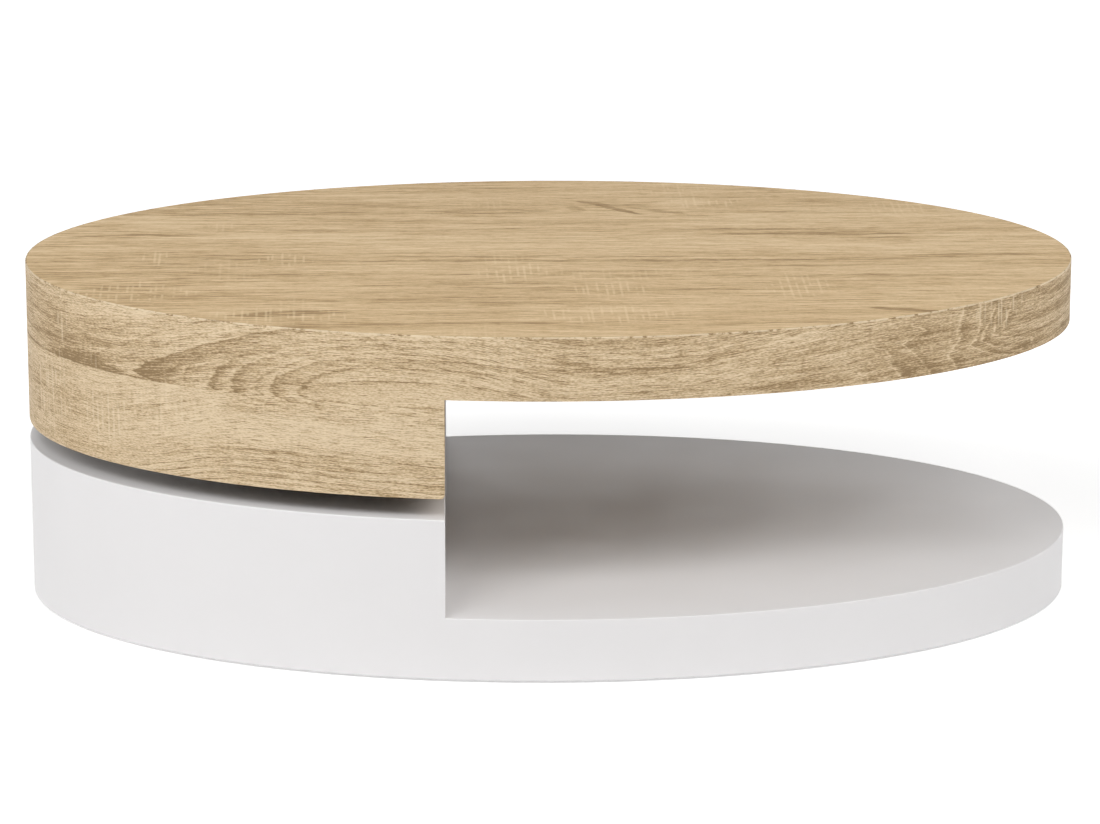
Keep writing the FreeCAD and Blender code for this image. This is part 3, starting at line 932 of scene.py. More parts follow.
    def paint(self, skin: Skin) -> None:
        """Draws the decor.

        Args:
            skin: the material to draw in.
        """
        graph = skin.graph
        grain = self.grain(skin)
        bent = grain.at(self.bent(grain))
        lean = grain.at(self.lean(grain, bent))
        ragged = grain.at(grain.wavered(self.border_wave))
        calm = self.calm(grain)
        plank = self.plank_sum(ragged, [1.0 for _ in self.planks])
        seed = graph.add(graph.product(plank, self.plank_step), self.seed)
        fibres = lean.layer(seed, self.fibres)
        pores = graph.fade(lean.layer(seed, self.pores), self.pore_range)
        figure = graph.product(self.shade(grain, bent), graph.fade(fibres, self.fibre_bite))
        threads = graph.product(self.thread_tone(bent, seed), calm)
        tone = graph.add(self.tone, self.plank_tone(ragged), threads,
                         graph.swing(bent.layer(seed, self.bands), self.bands.strength),
                         graph.swing(bent.layer(seed, self.lines), self.lines.strength, calm),
                         graph.swing(fibres, self.fibres.strength),
                         graph.swing(grain.layer(seed, self.speckle), self.speckle.strength),
                         graph.product(figure, -1.0), graph.product(pores, -self.pores.strength, calm))
        colours = (self.palette.deep, self.palette.dark, self.palette.middle, self.palette.pale)
        wood = graph.tint(tone, list(zip(self.palette.places, colours)))
        ticks = graph.highest(graph.product(self.tick_mask(grain), self.tick_strength), self.rim(grain))
        polish = graph.fade(graph.add(tone, graph.product(pores, self.pore_polish)), self.polish)
        skin.set(Base_Color=graph.mixed(ticks, wood, self.palette.ticks), Roughness=polish,
                 Specular_IOR_Level=self.sheen)
        skin.bump(graph.add(graph.product(fibres, self.fibre_height), graph.product(pores, self.pore_height),
                            graph.product(ticks, self.tick_height)), self.relief)


@dataclass(frozen=True)
class FlameOakDecor(OakDecor):
    """The decor of the bent side: flame figure on the board, a calm plank on the block below it."""

    slow_wave: Wave = Wave(31.0, 0.12, 0.05, 0.010)
    flame: Spot = (-0.135, 0.269)
    flame_squeeze: Spot = (0.30, 0.22)
    flame_rings: tuple[Ring, ...] = (
        Ring(0.0298, 0.006, 0.08, 0.36), Ring(0.0382, 0.0100, 0.54, 0.42), Ring(0.0428, 0.004, 0.20, 0.32),
        Ring(0.0502, 0.0085, 0.70, 0.42), Ring(0.0560, 0.0075, 0.70, 0.40), Ring(0.0648, 0.010, 0.44, 0.46))
    flank_rings: tuple[Ring, ...] = (
        Ring(0.0710, 0.005, 0.10, 0.16), Ring(0.0810, 0.028, 0.94, 0.50), Ring(0.0900, 0.006, 0.10, 0.22),
        Ring(0.0990, 0.008, 0.12, 0.24))
    oval_roundness: float = 2.0
    flank_roundness: float = 1.3
    flame_shade: Fade = Fade(0.268, 0.334, 1.0, 0.22, False)
    flame_left: Fade = Fade(-0.52, -0.43)
    flame_right: Fade = Fade(0.06, -0.06)
    flame_below: Fade = Fade(0.246, 0.262)
    flame_gain: float = 1.6
    tooth_waves: tuple[Wave, ...] = (Wave(12.0, 0.010, 0.0030, 0.0026), Wave(13.0, 0.008, 0.0010, 0.0014))
    sway_wave: Wave = Wave(11.0, 0.050, 0.022, 0.006)
    eye: Spot = (-0.135, 0.2685)
    eye_squeeze: Spot = (0.173, 0.155)
    eye_rings: tuple[Ring, ...] = (Ring(0.0172, 0.009, 0.18, 0.42),)
    eye_wave: Wave = Wave(10.0, 0.060, 0.020, 0.004)
    eye_teeth: float = 0.5
    eye_calm: Fade = Fade(0.013, 0.019, 0.35, 1.0)
    left_calm: Fade = Fade(-0.40, -0.26, 0.75, 1.0)
    lower_squeeze: float = 2.4
    ridges: tuple[Ridge, ...] = (
        Ridge(((0.2980, 0.270), (0.2940, 0.277), (0.2860, 0.281)), 0.0016, 0.14),
        Ridge(((0.3310, 0.270), (0.3175, 0.287), (0.3150, 0.300), (0.3000, 0.305)), 0.0020, 0.22),
        Ridge(((0.3620, 0.270), (0.3560, 0.281), (0.3430, 0.294), (0.3300, 0.302), (0.3470, 0.309),
               (0.3550, 0.314), (0.3400, 0.319)), 0.0020, 0.26),
        Ridge(((0.3930, 0.272), (0.3820, 0.286), (0.3970, 0.299), (0.3920, 0.309), (0.3970, 0.317),
               (0.3985, 0.326)), 0.0034, 0.32),
        Ridge(((0.4670, 0.272), (0.4300, 0.279), (0.4085, 0.291), (0.4170, 0.299), (0.4220, 0.311),
               (0.4185, 0.321)), 0.0028, 0.36),
        Ridge(((0.4800, 0.277), (0.4400, 0.284), (0.4220, 0.292), (0.4250, 0.301), (0.4335, 0.311),
               (0.4400, 0.322)), 0.0026, 0.32),
        Ridge(((0.4970, 0.281), (0.4570, 0.291), (0.4385, 0.296), (0.4385, 0.307), (0.4435, 0.318)),
              0.0024, 0.30),
        Ridge(((0.5000, 0.287), (0.4670, 0.292), (0.4500, 0.297), (0.4535, 0.306), (0.4600, 0.318)),
              0.0022, 0.24))
    ridge_span: Spot = (0.26, 0.54)
    ridge_end: float = 0.004
    ridge_edge: Fade = Fade(-0.0006, 0.0010, smooth=False)
    ridge_shade: Fade = Fade(0.020, 0.001, smooth=False)
    ridge_widths: float = 1.5
    ridge_core: float = 0.0002
    ridge_pale: float = 0.42
    ridge_pattern: float = 50.0
    ridge_spots: Spot = (160.0, 1.0)
    ridge_breaks: Fade = Fade(0.35, 0.65, 0.35, 1.0, False)
    ridge_waves: tuple[Wave, ...] = (Wave(14.0, 0.016, 0.010, 0.008), Wave(15.0, 0.010, 0.0020, 0.0040))
    ridge_lift: Wave = Wave(19.0, 0.020, 0.012, 0.006)
    tone_drifts: tuple[Fade, ...] = (Fade(-0.44, -0.34, 0.0, -0.08), Fade(-0.08, 0.10, 0.0, 0.16),
                                     Fade(0.26, 0.33, 0.0, 0.13), Fade(-0.40, -0.53, 0.0, 0.16))
    lower_paler: Fade = Fade(1.0, 0.0, 0.0, 0.05, False)
    joint: float = 0.2640
    joint_step: Fade = Fade(0.2637, 0.2643, smooth=False)
    joint_blend: Fade = Fade(0.236, 0.284)
    joint_run: Fade = Fade(-0.320, -0.250)
    joint_width: Fade = Fade(0.0012, 0.0005, smooth=False)
    joint_line: Fade = Fade(-0.31, -0.36, 0.0, 0.55, False)
    upper_rises: tuple[Fade, ...] = (Fade(-0.50, -0.22, 0.0, 0.038), Fade(-0.13, 0.02, 0.0, -0.030),
                                     Fade(0.08, 0.34, 0.0, 0.026))
    lower_rises: tuple[Fade, ...] = (Fade(-0.46, -0.28, 0.0, 0.030), Fade(-0.27, -0.10, 0.0, -0.006))
    hump_rings: tuple[Ring, ...] = (
        Ring(0.1510, -0.004, 0.20, 0.30), Ring(0.1570, -0.004, 0.20, 0.34), Ring(0.1640, -0.005, 0.24, 0.40),
        Ring(0.1720, -0.006, 0.24, 0.40), Ring(0.1822, 0.010, 0.26, 0.44))
    hump_wave: Wave = Wave(16.0, 0.020, 0.0016, 0.0016)
    hump_left: Fade = Fade(-0.46, -0.36)
    hump_above: Fade = Fade(0.228, 0.214, smooth=False)
    chip_spots: tuple[float, ...] = (8.0, 120.0, 3.0, 0.6)
    chip_dark: Fade = Fade(0.56, 0.64, 0.0, 0.45, False)
    chip_pale: Fade = Fade(0.58, 0.50, 0.0, 0.7, False)
    rim_dark: Fade = Fade(0.3278, 0.3290, smooth=False)
    rim_pale: Fade = Fade(0.3284, 0.3290, smooth=False)

    def climb(self, grain: Grain, rises: Sequence[Fade]) -> Feed:
        """Returns the sum of some climbs at each place along the board."""
        return grain.graph.add(*[grain.graph.fade(grain.along, rise) for rise in rises])

    def board_mask(self, grain: Grain) -> Feed:
        """Parts the board of the top from the plank below it; the joint between them fades out along its way.

        Args:
            grain: the grain.

        Returns:
            1 on the board and 0 on the plank.
        """
        graph = grain.graph
        hard = graph.fade(grain.across, self.joint_step)
        soft = graph.fade(grain.across, self.joint_blend)
        share = graph.fade(grain.along, self.joint_run)
        return graph.add(hard, graph.product(graph.minus(soft, hard), share))

    def bent(self, grain: Grain) -> Feed:
        """Bends the grain along the flame above and the hump below.

        Args:
            grain: the straight grain.

        Returns:
            The place across the bent grain.
        """
        graph = grain.graph
        lower = self.climb(grain, self.lower_rises)
        rest = graph.minus(self.climb(grain, self.upper_rises), lower)
        climb = graph.add(lower, graph.product(rest, self.board_mask(grain)))
        return graph.minus(grain.wavered(self.slow_wave), climb)

    def rings(self, graph: Graph, distance: Feed, rings: Sequence[Ring], fade: Feed = 1.0) -> Feed:
        """Draws growth rings.

        Args:
            graph: the material's graph.
            distance: distance from their middle.
            rings: the rings.
            fade: share of their shade that is left at each place.

        Returns:
            Their darkness.
        """
        return graph.highest(*[RING.value(graph, distance, ring.radius, ring.reach,
                                          graph.product(fade, ring.shade), ring.line) for ring in rings])

    def distance(self, grain: Grain, middle: Spot, squeeze: Spot, roundness: float) -> Socket:
        """Returns the distance from a figure's middle, with lengths squeezed to its left and to its right."""
        return FIGURE.value(grain.graph, grain.along, grain.across, *middle, *squeeze, self.lower_squeeze,
                            roundness)

    def flames(self, grain: Grain) -> Feed:
        """Draws the flame figure and the eye in it.

        Args:
            grain: the straight grain.

        Returns:
            Their darkness.
        """
        graph = grain.graph
        teeth = graph.add(*[grain.push(wave) for wave in self.tooth_waves])
        sway = graph.add(teeth, grain.push(self.sway_wave))
        shade = graph.fade(grain.across, self.flame_shade)
        drawn = []
        for rings, roundness in ((self.flame_rings, self.oval_roundness),
                                 (self.flank_rings, self.flank_roundness)):
            distance = self.distance(grain, self.flame, self.flame_squeeze, roundness)
            drawn.append(self.rings(graph, graph.add(distance, sway), rings, shade))
        eye = graph.add(self.distance(grain, self.eye, self.eye_squeeze, self.oval_roundness),
                        graph.product(teeth, self.eye_teeth), grain.push(self.eye_wave))
        share = graph.math("MULTIPLY", self.board_mask(grain), self.flame_gain, clamp=True)
        drawn.append(self.rings(graph, eye, self.eye_rings))
        ends = [graph.fade(grain.along, end) for end in (self.flame_left, self.flame_right)]
        return graph.product(graph.highest(*drawn), *ends, graph.fade(grain.across, self.flame_below), share)

    def ridge_tone(self, grain: Grain, ridge: Ridge) -> tuple[Feed, Feed]:
        """Draws one zig-zag ridge.

        Args:
            grain: the grain with ragged places.
            ridge: the ridge.

        Returns:
            The shade beside it and the pale line itself.
        """
        graph = grain.graph
        start, end = self.ridge_span
        low, high = ridge.turns[0][1], ridge.turns[-1][1]
        stops = []
        for place, height in ridge.turns:
            level = (place - start) / (end - start)
            stops.append(((height - low) / (high - low), (level, level, level)))
        path = graph.tint(graph.over(graph.minus(grain.across, low), high - low), stops)
        offset = graph.minus(grain.along, graph.add(graph.product(path, end - start), start))
        inside = graph.product(graph.remap(grain.across, low - self.ridge_end, low),
                               graph.remap(grain.across, high + self.ridge_end, high))
        shade = graph.product(graph.fade(offset, self.ridge_edge), graph.fade(offset, self.ridge_shade))
        pale = graph.remap(graph.size(offset), ridge.width * self.ridge_widths, self.ridge_core, smooth=True)
        spots = graph.noise(graph.vector(grain.along, grain.across, ridge.shade * self.ridge_pattern),
                            *self.ridge_spots)
        line = graph.product(pale, inside, graph.fade(spots, self.ridge_breaks), self.ridge_pale)
        return graph.product(shade, inside, ridge.shade), line

    def chevrons(self, grain: Grain) -> Feed:
        """Draws the zig-zag ridges near the right end of the board.

        Args:
            grain: the straight grain.

        Returns:
            Their tone.
        """
        graph = grain.graph
        along = graph.add(grain.along, *[grain.push(wave) for wave in self.ridge_waves])
        ragged = replace(grain, along=along, across=grain.wavered(self.ridge_lift))
        shades, lines = zip(*[self.ridge_tone(ragged, ridge) for ridge in self.ridges])
        return graph.minus(graph.highest(*shades), graph.highest(*lines))

    def shade(self, grain: Grain, bent: Grain) -> Feed:
        """Draws the flame figure, the ridges, the hump's lines, the joint line, the chips and the streaks.

        Args:
            grain: the straight grain.
            bent: the bent grain.

        Returns:
            How far they darken each place.
        """
        graph = grain.graph
        hump = graph.product(self.rings(graph, bent.wavered(self.hump_wave), self.hump_rings),
                             graph.fade(grain.along, self.hump_left),
                             graph.fade(grain.across, self.hump_above))
        joint = graph.product(graph.fade(graph.size(graph.minus(grain.across, self.joint)), self.joint_width),
                              graph.fade(grain.along, self.joint_line))
        chips = graph.product(graph.fade(grain.spots(*self.chip_spots), self.chip_dark),
                              graph.fade(grain.across, self.rim_dark))
        streaks = graph.product(super().shade(grain, bent), self.board_mask(grain))
        drawn = graph.highest(self.flames(grain), hump, joint, chips)
        return graph.add(drawn, self.chevrons(grain), streaks)

    def calm(self, grain: Grain) -> Feed:
        """Calms the decor in the eye and at the left of the block.

        Args:
            grain: the straight grain.

        Returns:
            How much of the lines, threads and pores is left.
        """
        graph = grain.graph
        eye = self.distance(grain, self.eye, self.eye_squeeze, self.oval_roundness)
        left = graph.remap(self.board_mask(grain), 0.0, 1.0, graph.fade(grain.along, self.left_calm), 1.0)
        return graph.product(graph.fade(eye, self.eye_calm), left)

    def plank_tone(self, grain: Grain) -> Feed:
        """Returns how much paler the plank below the board is, less how both ends darken."""
        paler = grain.graph.fade(self.board_mask(grain), self.lower_paler)
        return grain.graph.minus(paler, self.climb(grain, self.tone_drifts))

    def rim(self, grain: Grain) -> Feed:
        """Returns how far a pale line is painted along the upper edge, with small chips left out."""
        edge = grain.graph.fade(grain.across, self.rim_pale)
        return grain.graph.product(edge, grain.graph.fade(grain.spots(*self.chip_spots), self.chip_pale))


@dataclass(frozen=True)
class Lacquer(Finish):
    """Satin white lacquer with a faint orange peel."""

    name: str = "satin_white_lacquer"
    colour: Colour = (0.800, 0.788, 0.790)
    shadow_colour: Colour = (0.792, 0.780, 0.782)
    roughness: Spot = (0.46, 0.39)
    sheen: float = 0.4
    peel: float = 0.0022
    peel_depth: float = 0.000006
    slot: Slot = Slot.LACQUER

    def paint(self, skin: Skin) -> None:
        """Draws the lacquer.

        Args:
            skin: the material to draw in.
        """
        graph = skin.graph
        fine, cloud = skin.speckle(self.peel)
        level = graph.remap(cloud, *NOISE_SPREAD)
        skin.set(Base_Color=graph.mixed(level, self.shadow_colour, self.colour),
                 Roughness=graph.remap(cloud, *NOISE_SPREAD, *self.roughness), Specular_IOR_Level=self.sheen)
        skin.bump(fine, self.peel_depth)


@dataclass(frozen=True)
class Fibreboard(Finish):
    """Raw fibreboard: matted brown fibres."""

    name: str = "raw_fibreboard_core"
    pale: Colour = (0.420, 0.300, 0.185)
    dark: Colour = (0.270, 0.180, 0.100)
    roughness: Spot = (0.95, 0.8)
    felt: float = 0.0016
    felt_depth: float = 0.00012
    fine_share: float = 0.8
    cloud_share: float = 0.3
    slot: Slot = Slot.FIBREBOARD

    def paint(self, skin: Skin) -> None:
        """Draws the fibres.

        Args:
            skin: the material to draw in.
        """
        graph = skin.graph
        fine, cloud = skin.speckle(self.felt)
        level = graph.add(graph.remap(fine, *NOISE_SPREAD, 0.0, self.fine_share),
                          graph.product(cloud, self.cloud_share))
        skin.set(Base_Color=graph.mixed(level, self.dark, self.pale),
                 Roughness=graph.remap(fine, *NOISE_SPREAD, *self.roughness))
        skin.bump(fine, self.felt_depth)


@dataclass(frozen=True)
class TurnedMetal(Finish):
    """Metal with the fine rings that a lathe leaves about the pivot."""

    name: str
    slot: Slot
    colour: Colour
    worn: Colour
    roughness: float
    ring_pitch: float
    pivot: float = -0.300
    ring_pattern: float = 2.0
    ring_length: float = 0.02
    ring_depth: float = 0.00002
    ring_rough: Fade = Fade(*NOISE_SPREAD, -0.08, 0.08, False)
    stain: float = 0.004
    stain_tint: Fade = Fade(0.35, 0.65, smooth=False)
    stain_rough: Fade = Fade(*NOISE_SPREAD, -0.05, 0.05, False)

    def paint(self, skin: Skin) -> None:
        """Draws the metal.

        Args:
            skin: the material to draw in.
        """
        graph = skin.graph
        x, y, z = skin.place()
        offset = graph.minus(x, self.pivot)
        radius = graph.math("SQRT", graph.add(graph.product(offset, offset), graph.product(y, y)))
        rings = Grain(graph, 0.0, z, radius).fibres(self.ring_pattern, self.ring_length, self.ring_pitch)
        fine, cloud = skin.speckle(self.stain)
        roughness = graph.add(self.roughness, graph.fade(rings, self.ring_rough),
                              graph.fade(cloud, self.stain_rough))
        skin.set(Base_Color=graph.mixed(graph.fade(fine, self.stain_tint), self.worn, self.colour),
                 Metallic=1.0, Roughness=roughness)
        skin.bump(rings, self.ring_depth)


@dataclass(frozen=True)
class Moulded(Finish):
    """Moulded plastic with a fine spark-eroded grain."""

    name: str
    slot: Slot
    colour: Colour
    scuffed: Colour
    roughness: float
    texture: float = 0.0007
    texture_depth: float = 0.00002
    scuff_tint: Fade = Fade(0.42, 0.68, smooth=False)
    scuff_rough: float = 0.12

    def paint(self, skin: Skin) -> None:
        """Draws the plastic.

        Args:
            skin: the material to draw in.
        """
        graph = skin.graph
        fine, cloud = skin.speckle(self.texture)
        scuffs = graph.fade(cloud, self.scuff_tint)
        skin.set(Base_Color=graph.mixed(scuffs, self.colour, self.scuffed),
                 Roughness=graph.add(self.roughness, graph.product(scuffs, self.scuff_rough)))
        skin.bump(fine, self.texture_depth)


@dataclass(frozen=True)
class BeechRod(Finish):
    """Turned beech with short dark flecks."""

    name: str = "beech_rod"
    pale: Colour = (0.620, 0.430, 0.270)
    dark: Colour = (0.420, 0.260, 0.140)
    roughness: Spot = (0.55, 0.7)
    flecks: Layer = Layer(7.0, 0.004, 0.0005, 1.0)
    fleck_tint: Fade = Fade(0.56, 0.70, smooth=False)
    fleck_depth: float = 0.00003
    slot: Slot = Slot.BEECH

    def paint(self, skin: Skin) -> None:
        """Draws the wood.

        Args:
            skin: the material to draw in.
        """
        graph, look = skin.graph, self.flecks
        x, y, z = skin.place()
        grain = Grain(graph, 0.0, z, graph.add(x, y))
        flecks = grain.fibres(look.pattern, look.length, look.width, look.detail)
        skin.set(Base_Color=graph.mixed(graph.fade(flecks, self.fleck_tint), self.pale, self.dark),
                 Roughness=graph.remap(flecks, *NOISE_SPREAD, *self.roughness))
        skin.bump(flecks, self.fleck_depth)


@dataclass(frozen=True)
class Oval:
    """The plan of both halves."""

    half_length: float
    half_depth: float
    samples: int = 7200

    def point(self, angle: float, inset: float = 0.0) -> Spot:
        """Finds a plan point, moved square to the outline by an inset.

        Args:
            angle: the point's angle.
            inset: how far it lies inside the outline.

        Returns:
            The point.
        """
        x, y = math.cos(angle), math.sin(angle)
        across = Vector((x * self.half_depth, y * self.half_length)).normalized()
        return self.half_length * x - inset * across.x, self.half_depth * y - inset * across.y

    def speed(self, angle: float) -> float:
        """Returns the outline's length for each radian at an angle."""
        return math.hypot(self.half_length * math.sin(angle), self.half_depth * math.cos(angle))

    def arc(self, start: float, end: float) -> float:
        """Measures the outline between two angles.

        Args:
            start: first angle.
            end: last angle.

        Returns:
            The signed length.
        """
        count = max(2, int(abs(end - start) / (2 * math.pi) * self.samples))
        step = (end - start) / count
        return sum(self.speed(start + (index + 0.5) * step) * step for index in range(count))

    def even_angles(self, start: float, end: float, count: int) -> list[float]:
        """Parts the outline between two angles into equal lengths.

        Args:
            start: first angle.
            end: last angle.
            count: number of parts.

        Returns:
            The angles, both ends included.
        """
        fine = [start + (end - start) * index / self.samples for index in range(self.samples + 1)]
        lengths = [0.0]
        for first, second in zip(fine, fine[1:]):
            lengths.append(lengths[-1] + self.speed((first + second) / 2) * (second - first))
        angles, place = [start], 0
        for index in range(1, count):
            wanted = lengths[-1] * index / count
            while lengths[place + 1] < wanted:
                place += 1
            share = (wanted - lengths[place]) / (lengths[place + 1] - lengths[place])
            angles.append(fine[place] + share * (fine[place + 1] - fine[place]))
        return angles + [end]


def new_piece(name: str, mesh: bmesh.types.BMesh, smooth_angle: float) -> bpy.types.Object:
    """Turns a mesh into a piece of the scene.

    Args:
        name: the piece's name.
        mesh: its mesh, which is used up.
        smooth_angle: edges sharper than this stay sharp.

    Returns:
        The piece.
    """
    bmesh.ops.recalc_face_normals(mesh, faces=mesh.faces[:])
    for face in mesh.faces:
        face.smooth = True
    for edge in mesh.edges:
        edge.smooth = len(edge.link_faces) == 2 and edge.calc_face_angle(0.0) < smooth_angle
    data = bpy.data.meshes.new(name)
    mesh.to_mesh(data)
    mesh.free()
    piece = bpy.data.objects.new(name, data)
    bpy.context.scene.collection.objects.link(piece)
    return piece


class FinishStore:
    """Makes each finish's material once and hands it out to every piece that wears it."""

    def __init__(self) -> None:
        """Starts with no materials."""
        self.made: dict[Finish, bpy.types.Material] = {}

    def dress(self, piece: bpy.types.Object, finish: Finish) -> None:
        """Gives a whole piece one finish.

        Args:
            piece: the piece.
            finish: its finish.
        """
        if finish not in self.made:
            self.made[finish] = finish.material()
        piece.data.materials.clear()
        piece.data.materials.append(self.made[finish])
        LOG.info("dressed %s in %s", piece.name, finish.name)

    def dress_nodes(self, looks: Sequence[tuple[Finish, Sequence[str]]]) -> None:
        """Gives CAD nodes their finishes.

        Args:
            looks: pairs of a finish and the names of the nodes that wear it.
        """
        for finish, names in looks:
            for name in names:
                self.dress(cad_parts[name], finish)


@dataclass(frozen=True)
class Column:
    """An upright line of the edge band: its angle, its place along the grain and its lower end."""

    angle: float
    place: float
    low: float


class BandMesh:
    """The edge band's mesh, which keeps each vertex's place along the grain."""

    digits = 7

    def __init__(self) -> None:
        """Starts without vertices."""
        self.mesh = bmesh.new()
        self.grain = self.mesh.loops.layers.uv.new(GRAIN_MAP)
        self.places: dict[bmesh.types.BMVert, float] = {}
        self.known: dict[tuple[float, ...], bmesh.types.BMVert] = {}

    def vertex(self, place: float, depth: float, spot: tuple[float, float, float]) -> bmesh.types.BMVert:
        """Finds or makes a vertex.

        Args:
            place: its place along the grain.
            depth: its depth under the band's face.
            spot: its three coordinates.

        Returns:
            The vertex.
        """
        key = tuple(round(value, self.digits) for value in (place, depth, spot[2]))
        if key not in self.known:
            self.known[key] = self.mesh.verts.new(spot)
            self.places[self.known[key]] = place
        return self.known[key]

    def unroll(self) -> None:
        """Lays the band out flat on its grain map."""
        for face in self.mesh.faces:
            for corner in face.loops:
                corner[self.grain].uv = (self.places[corner.vert], corner.vert.co.z)


@dataclass
class UpperHalf:
    """The oak-decor half that turns: its board and the band bent round it are new meshes, the rest is CAD."""

    oval: Oval
    table_top: float
    board_under: float
    drop_under: float
    panel_under: float
    cut: float
    band: float = 0.0010
    glue_line: float = 0.0001
    band_round: float = 0.0004
    drop_round: float = 0.0045
    arris: float = 0.0002
    seam: float = 0.00008
    back: float = math.pi / 2
    front: float = 1.5 * math.pi
    panel_columns: int = 320
    column_pitch: float = 0.008
    round_steps: int = 4
    corner_steps: int = 8
    ring_shares: tuple[float, ...] = (0.96, 0.85, 0.70, 0.52, 0.34, 0.16)
    panel_smooth: float = math.radians(30)
    band_smooth: float = math.radians(35)
    cores: tuple[str, ...] = ("top_frame_ring", "top_rail_front", "top_rail_rear", "top_cross_rib_inner",
                              "top_cross_rib_outer", "drop_wall", "drop_rib_front", "drop_rib_rear")

    @classmethod
    def from_frame(cls) -> "UpperHalf":
        """Takes the sizes of the CAD pieces that the half stands for.

        Returns:
            The half.
        """
        band_low, band_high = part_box("top_edge_band")
        return cls(Oval(band_high.x, band_high.y), band_high.z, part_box("overhang_soffit")[0].z, band_low.z,
                   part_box("top_panel")[0].z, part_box("drop_face_panel")[1].x)

    def dress(self, store: FinishStore) -> None:
        """Gives the CAD pieces of the half their finishes.

        Args:
            store: where the finishes come from.
        """
        # The darkened oak under the overhang is painted shade for the shelf below it.
        # The nearly black oak under the block is painted shade for the gap above the pedestal.
        store.dress_nodes(((CORE, self.cores), (BEECH_ROD, ("drop_dowels",)),
                           (FACE_DECOR, ("drop_face_panel",)), (SHELF_SHADE_SOFFIT_DECOR, ("overhang_soffit",)),
                           (GAP_SHADE_UNDER_DECOR, ("drop_bottom_panel",)), (TOP_DECOR, ("top_panel",)),
                           (SIDE_DECOR, ("top_edge_band",))))

    def build(self, store: FinishStore) -> None:
        """Builds and dresses the pieces that stand for plain solids.

        Args:
            store: where the finishes come from.
        """
        pieces = ((self.build_panel(), "top_panel", TOP_DECOR),
                  (self.build_band(), "top_edge_band", SIDE_DECOR))
        for piece, node, finish in pieces:
            store.dress(piece, finish)
            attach(piece, Body.TOP.value)
            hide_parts(node)
            LOG.info("built %s", piece.name)

    def build_panel(self) -> bpy.types.Object:
        """Builds the oval board with its eased upper edge.

        Returns:
            The board.
        """
        inset = self.band + self.glue_line
        angles = self.oval.even_angles(0.0, 2 * math.pi, self.panel_columns)[:-1]
        mesh = bmesh.new()
        levels = ((inset, self.panel_under), (inset, self.table_top - self.arris),
                  (inset + self.arris, self.table_top))
        loops = [[mesh.verts.new((*self.oval.point(angle, depth), height)) for angle in angles]
                 for depth, height in levels]
        rim = [self.oval.point(angle, inset + self.arris) for angle in angles]
        for share in self.ring_shares:
            loops.append([mesh.verts.new((x * share, y * share, self.table_top)) for x, y in rim])
        for lower, upper in zip(loops, loops[1:]):
            for index in range(len(angles)):
                after = (index + 1) % len(angles)
                mesh.faces.new((lower[index], lower[after], upper[after], upper[index]))
        self.cap(mesh, loops[-1], self.table_top)
        self.cap(mesh, loops[0], self.panel_under)
        grain = mesh.loops.layers.uv.new(GRAIN_MAP)
        for face in mesh.faces:
            for corner in face.loops:
                corner[grain].uv = corner.vert.co.xy
        return new_piece("table_top_board", mesh, self.panel_smooth)

    def cap(self, mesh: bmesh.types.BMesh, loop: list[bmesh.types.BMVert], height: float) -> None:
        """Closes a ring of points with a fan about the middle.

        Args:
            mesh: the mesh.
            loop: the ring.
            height: height of the middle.
        """
        middle = mesh.verts.new((0.0, 0.0, height))
        for first, second in zip(loop, loop[1:] + loop[:1]):
            mesh.faces.new((first, second, middle))

    def band_columns(self) -> list[Column]:
        """Sets out the band's columns from the seam at the back, round the block and the front, to the seam.

        Returns:
            The columns.
        """
        cut_angle = math.acos(self.cut / self.oval.half_length)
        corners = (self.back, cut_angle, 2 * math.pi - cut_angle, self.back + 2 * math.pi)
        columns: list[Column] = []
        lows = (self.board_under, self.drop_under, self.board_under)
        for first, last, low in zip(corners, corners[1:], lows):
            span = self.oval.arc(first, last)
            angles = self.oval.even_angles(first, last, round(span / self.column_pitch))
            if low == self.drop_under:
                angles = self.with_corner_columns(angles, span)
            columns += [Column(angle, self.oval.arc(self.front, angle), low) for angle in angles]
        gap = self.seam / self.oval.half_length
        columns[0] = replace(columns[0], angle=columns[0].angle + gap)
        columns[-1] = replace(columns[-1], angle=columns[-1].angle - gap)
        return columns

    def with_corner_columns(self, angles: list[float], span: float) -> list[float]:
        """Adds close columns at both ends of the block for its rounded corners.

        Args:
            angles: the block's column angles.
            span: length of the block's outline.

        Returns:
            The angles with those of the corners.
        """
        reach = self.drop_round / span * (angles[-1] - angles[0])
        near = [reach * (1 - math.cos(math.pi / 2 * step / self.corner_steps))
                for step in range(self.corner_steps + 1)]
        first = [angles[0] + item for item in near]
        last = [angles[-1] - item for item in reversed(near)]
        return first + [angle for angle in angles if first[-1] < angle < last[0]] + last

    def profile(self, column: Column, block: Spot) -> list[Spot]:
        """Sets out the section of the band at a column.

        Args:
            column: the column.
            block: the places where the block starts and ends.

        Returns:
            Depth and height of each corner, from the outer lower one upwards and round.
        """
        low = column.low
        if low == self.drop_under:
            gap = min(column.place - block[0], block[1] - column.place)
            rest = max(0.0, self.drop_round - gap)
            low = low + self.drop_round - math.sqrt(max(0.0, self.drop_round ** 2 - rest ** 2))
        step = (self.board_under,) if low < self.board_under else ()
        outer = [(0.0, height) for height in (low, *step)]
        for index in range(self.round_steps + 1):
            turn = math.pi / 2 * index / self.round_steps
            outer.append((self.band_round * (1 - math.cos(turn)),
                          self.table_top - self.band_round * (1 - math.sin(turn))))
        return outer + [(self.band, height) for height in (self.table_top, *step, low)]

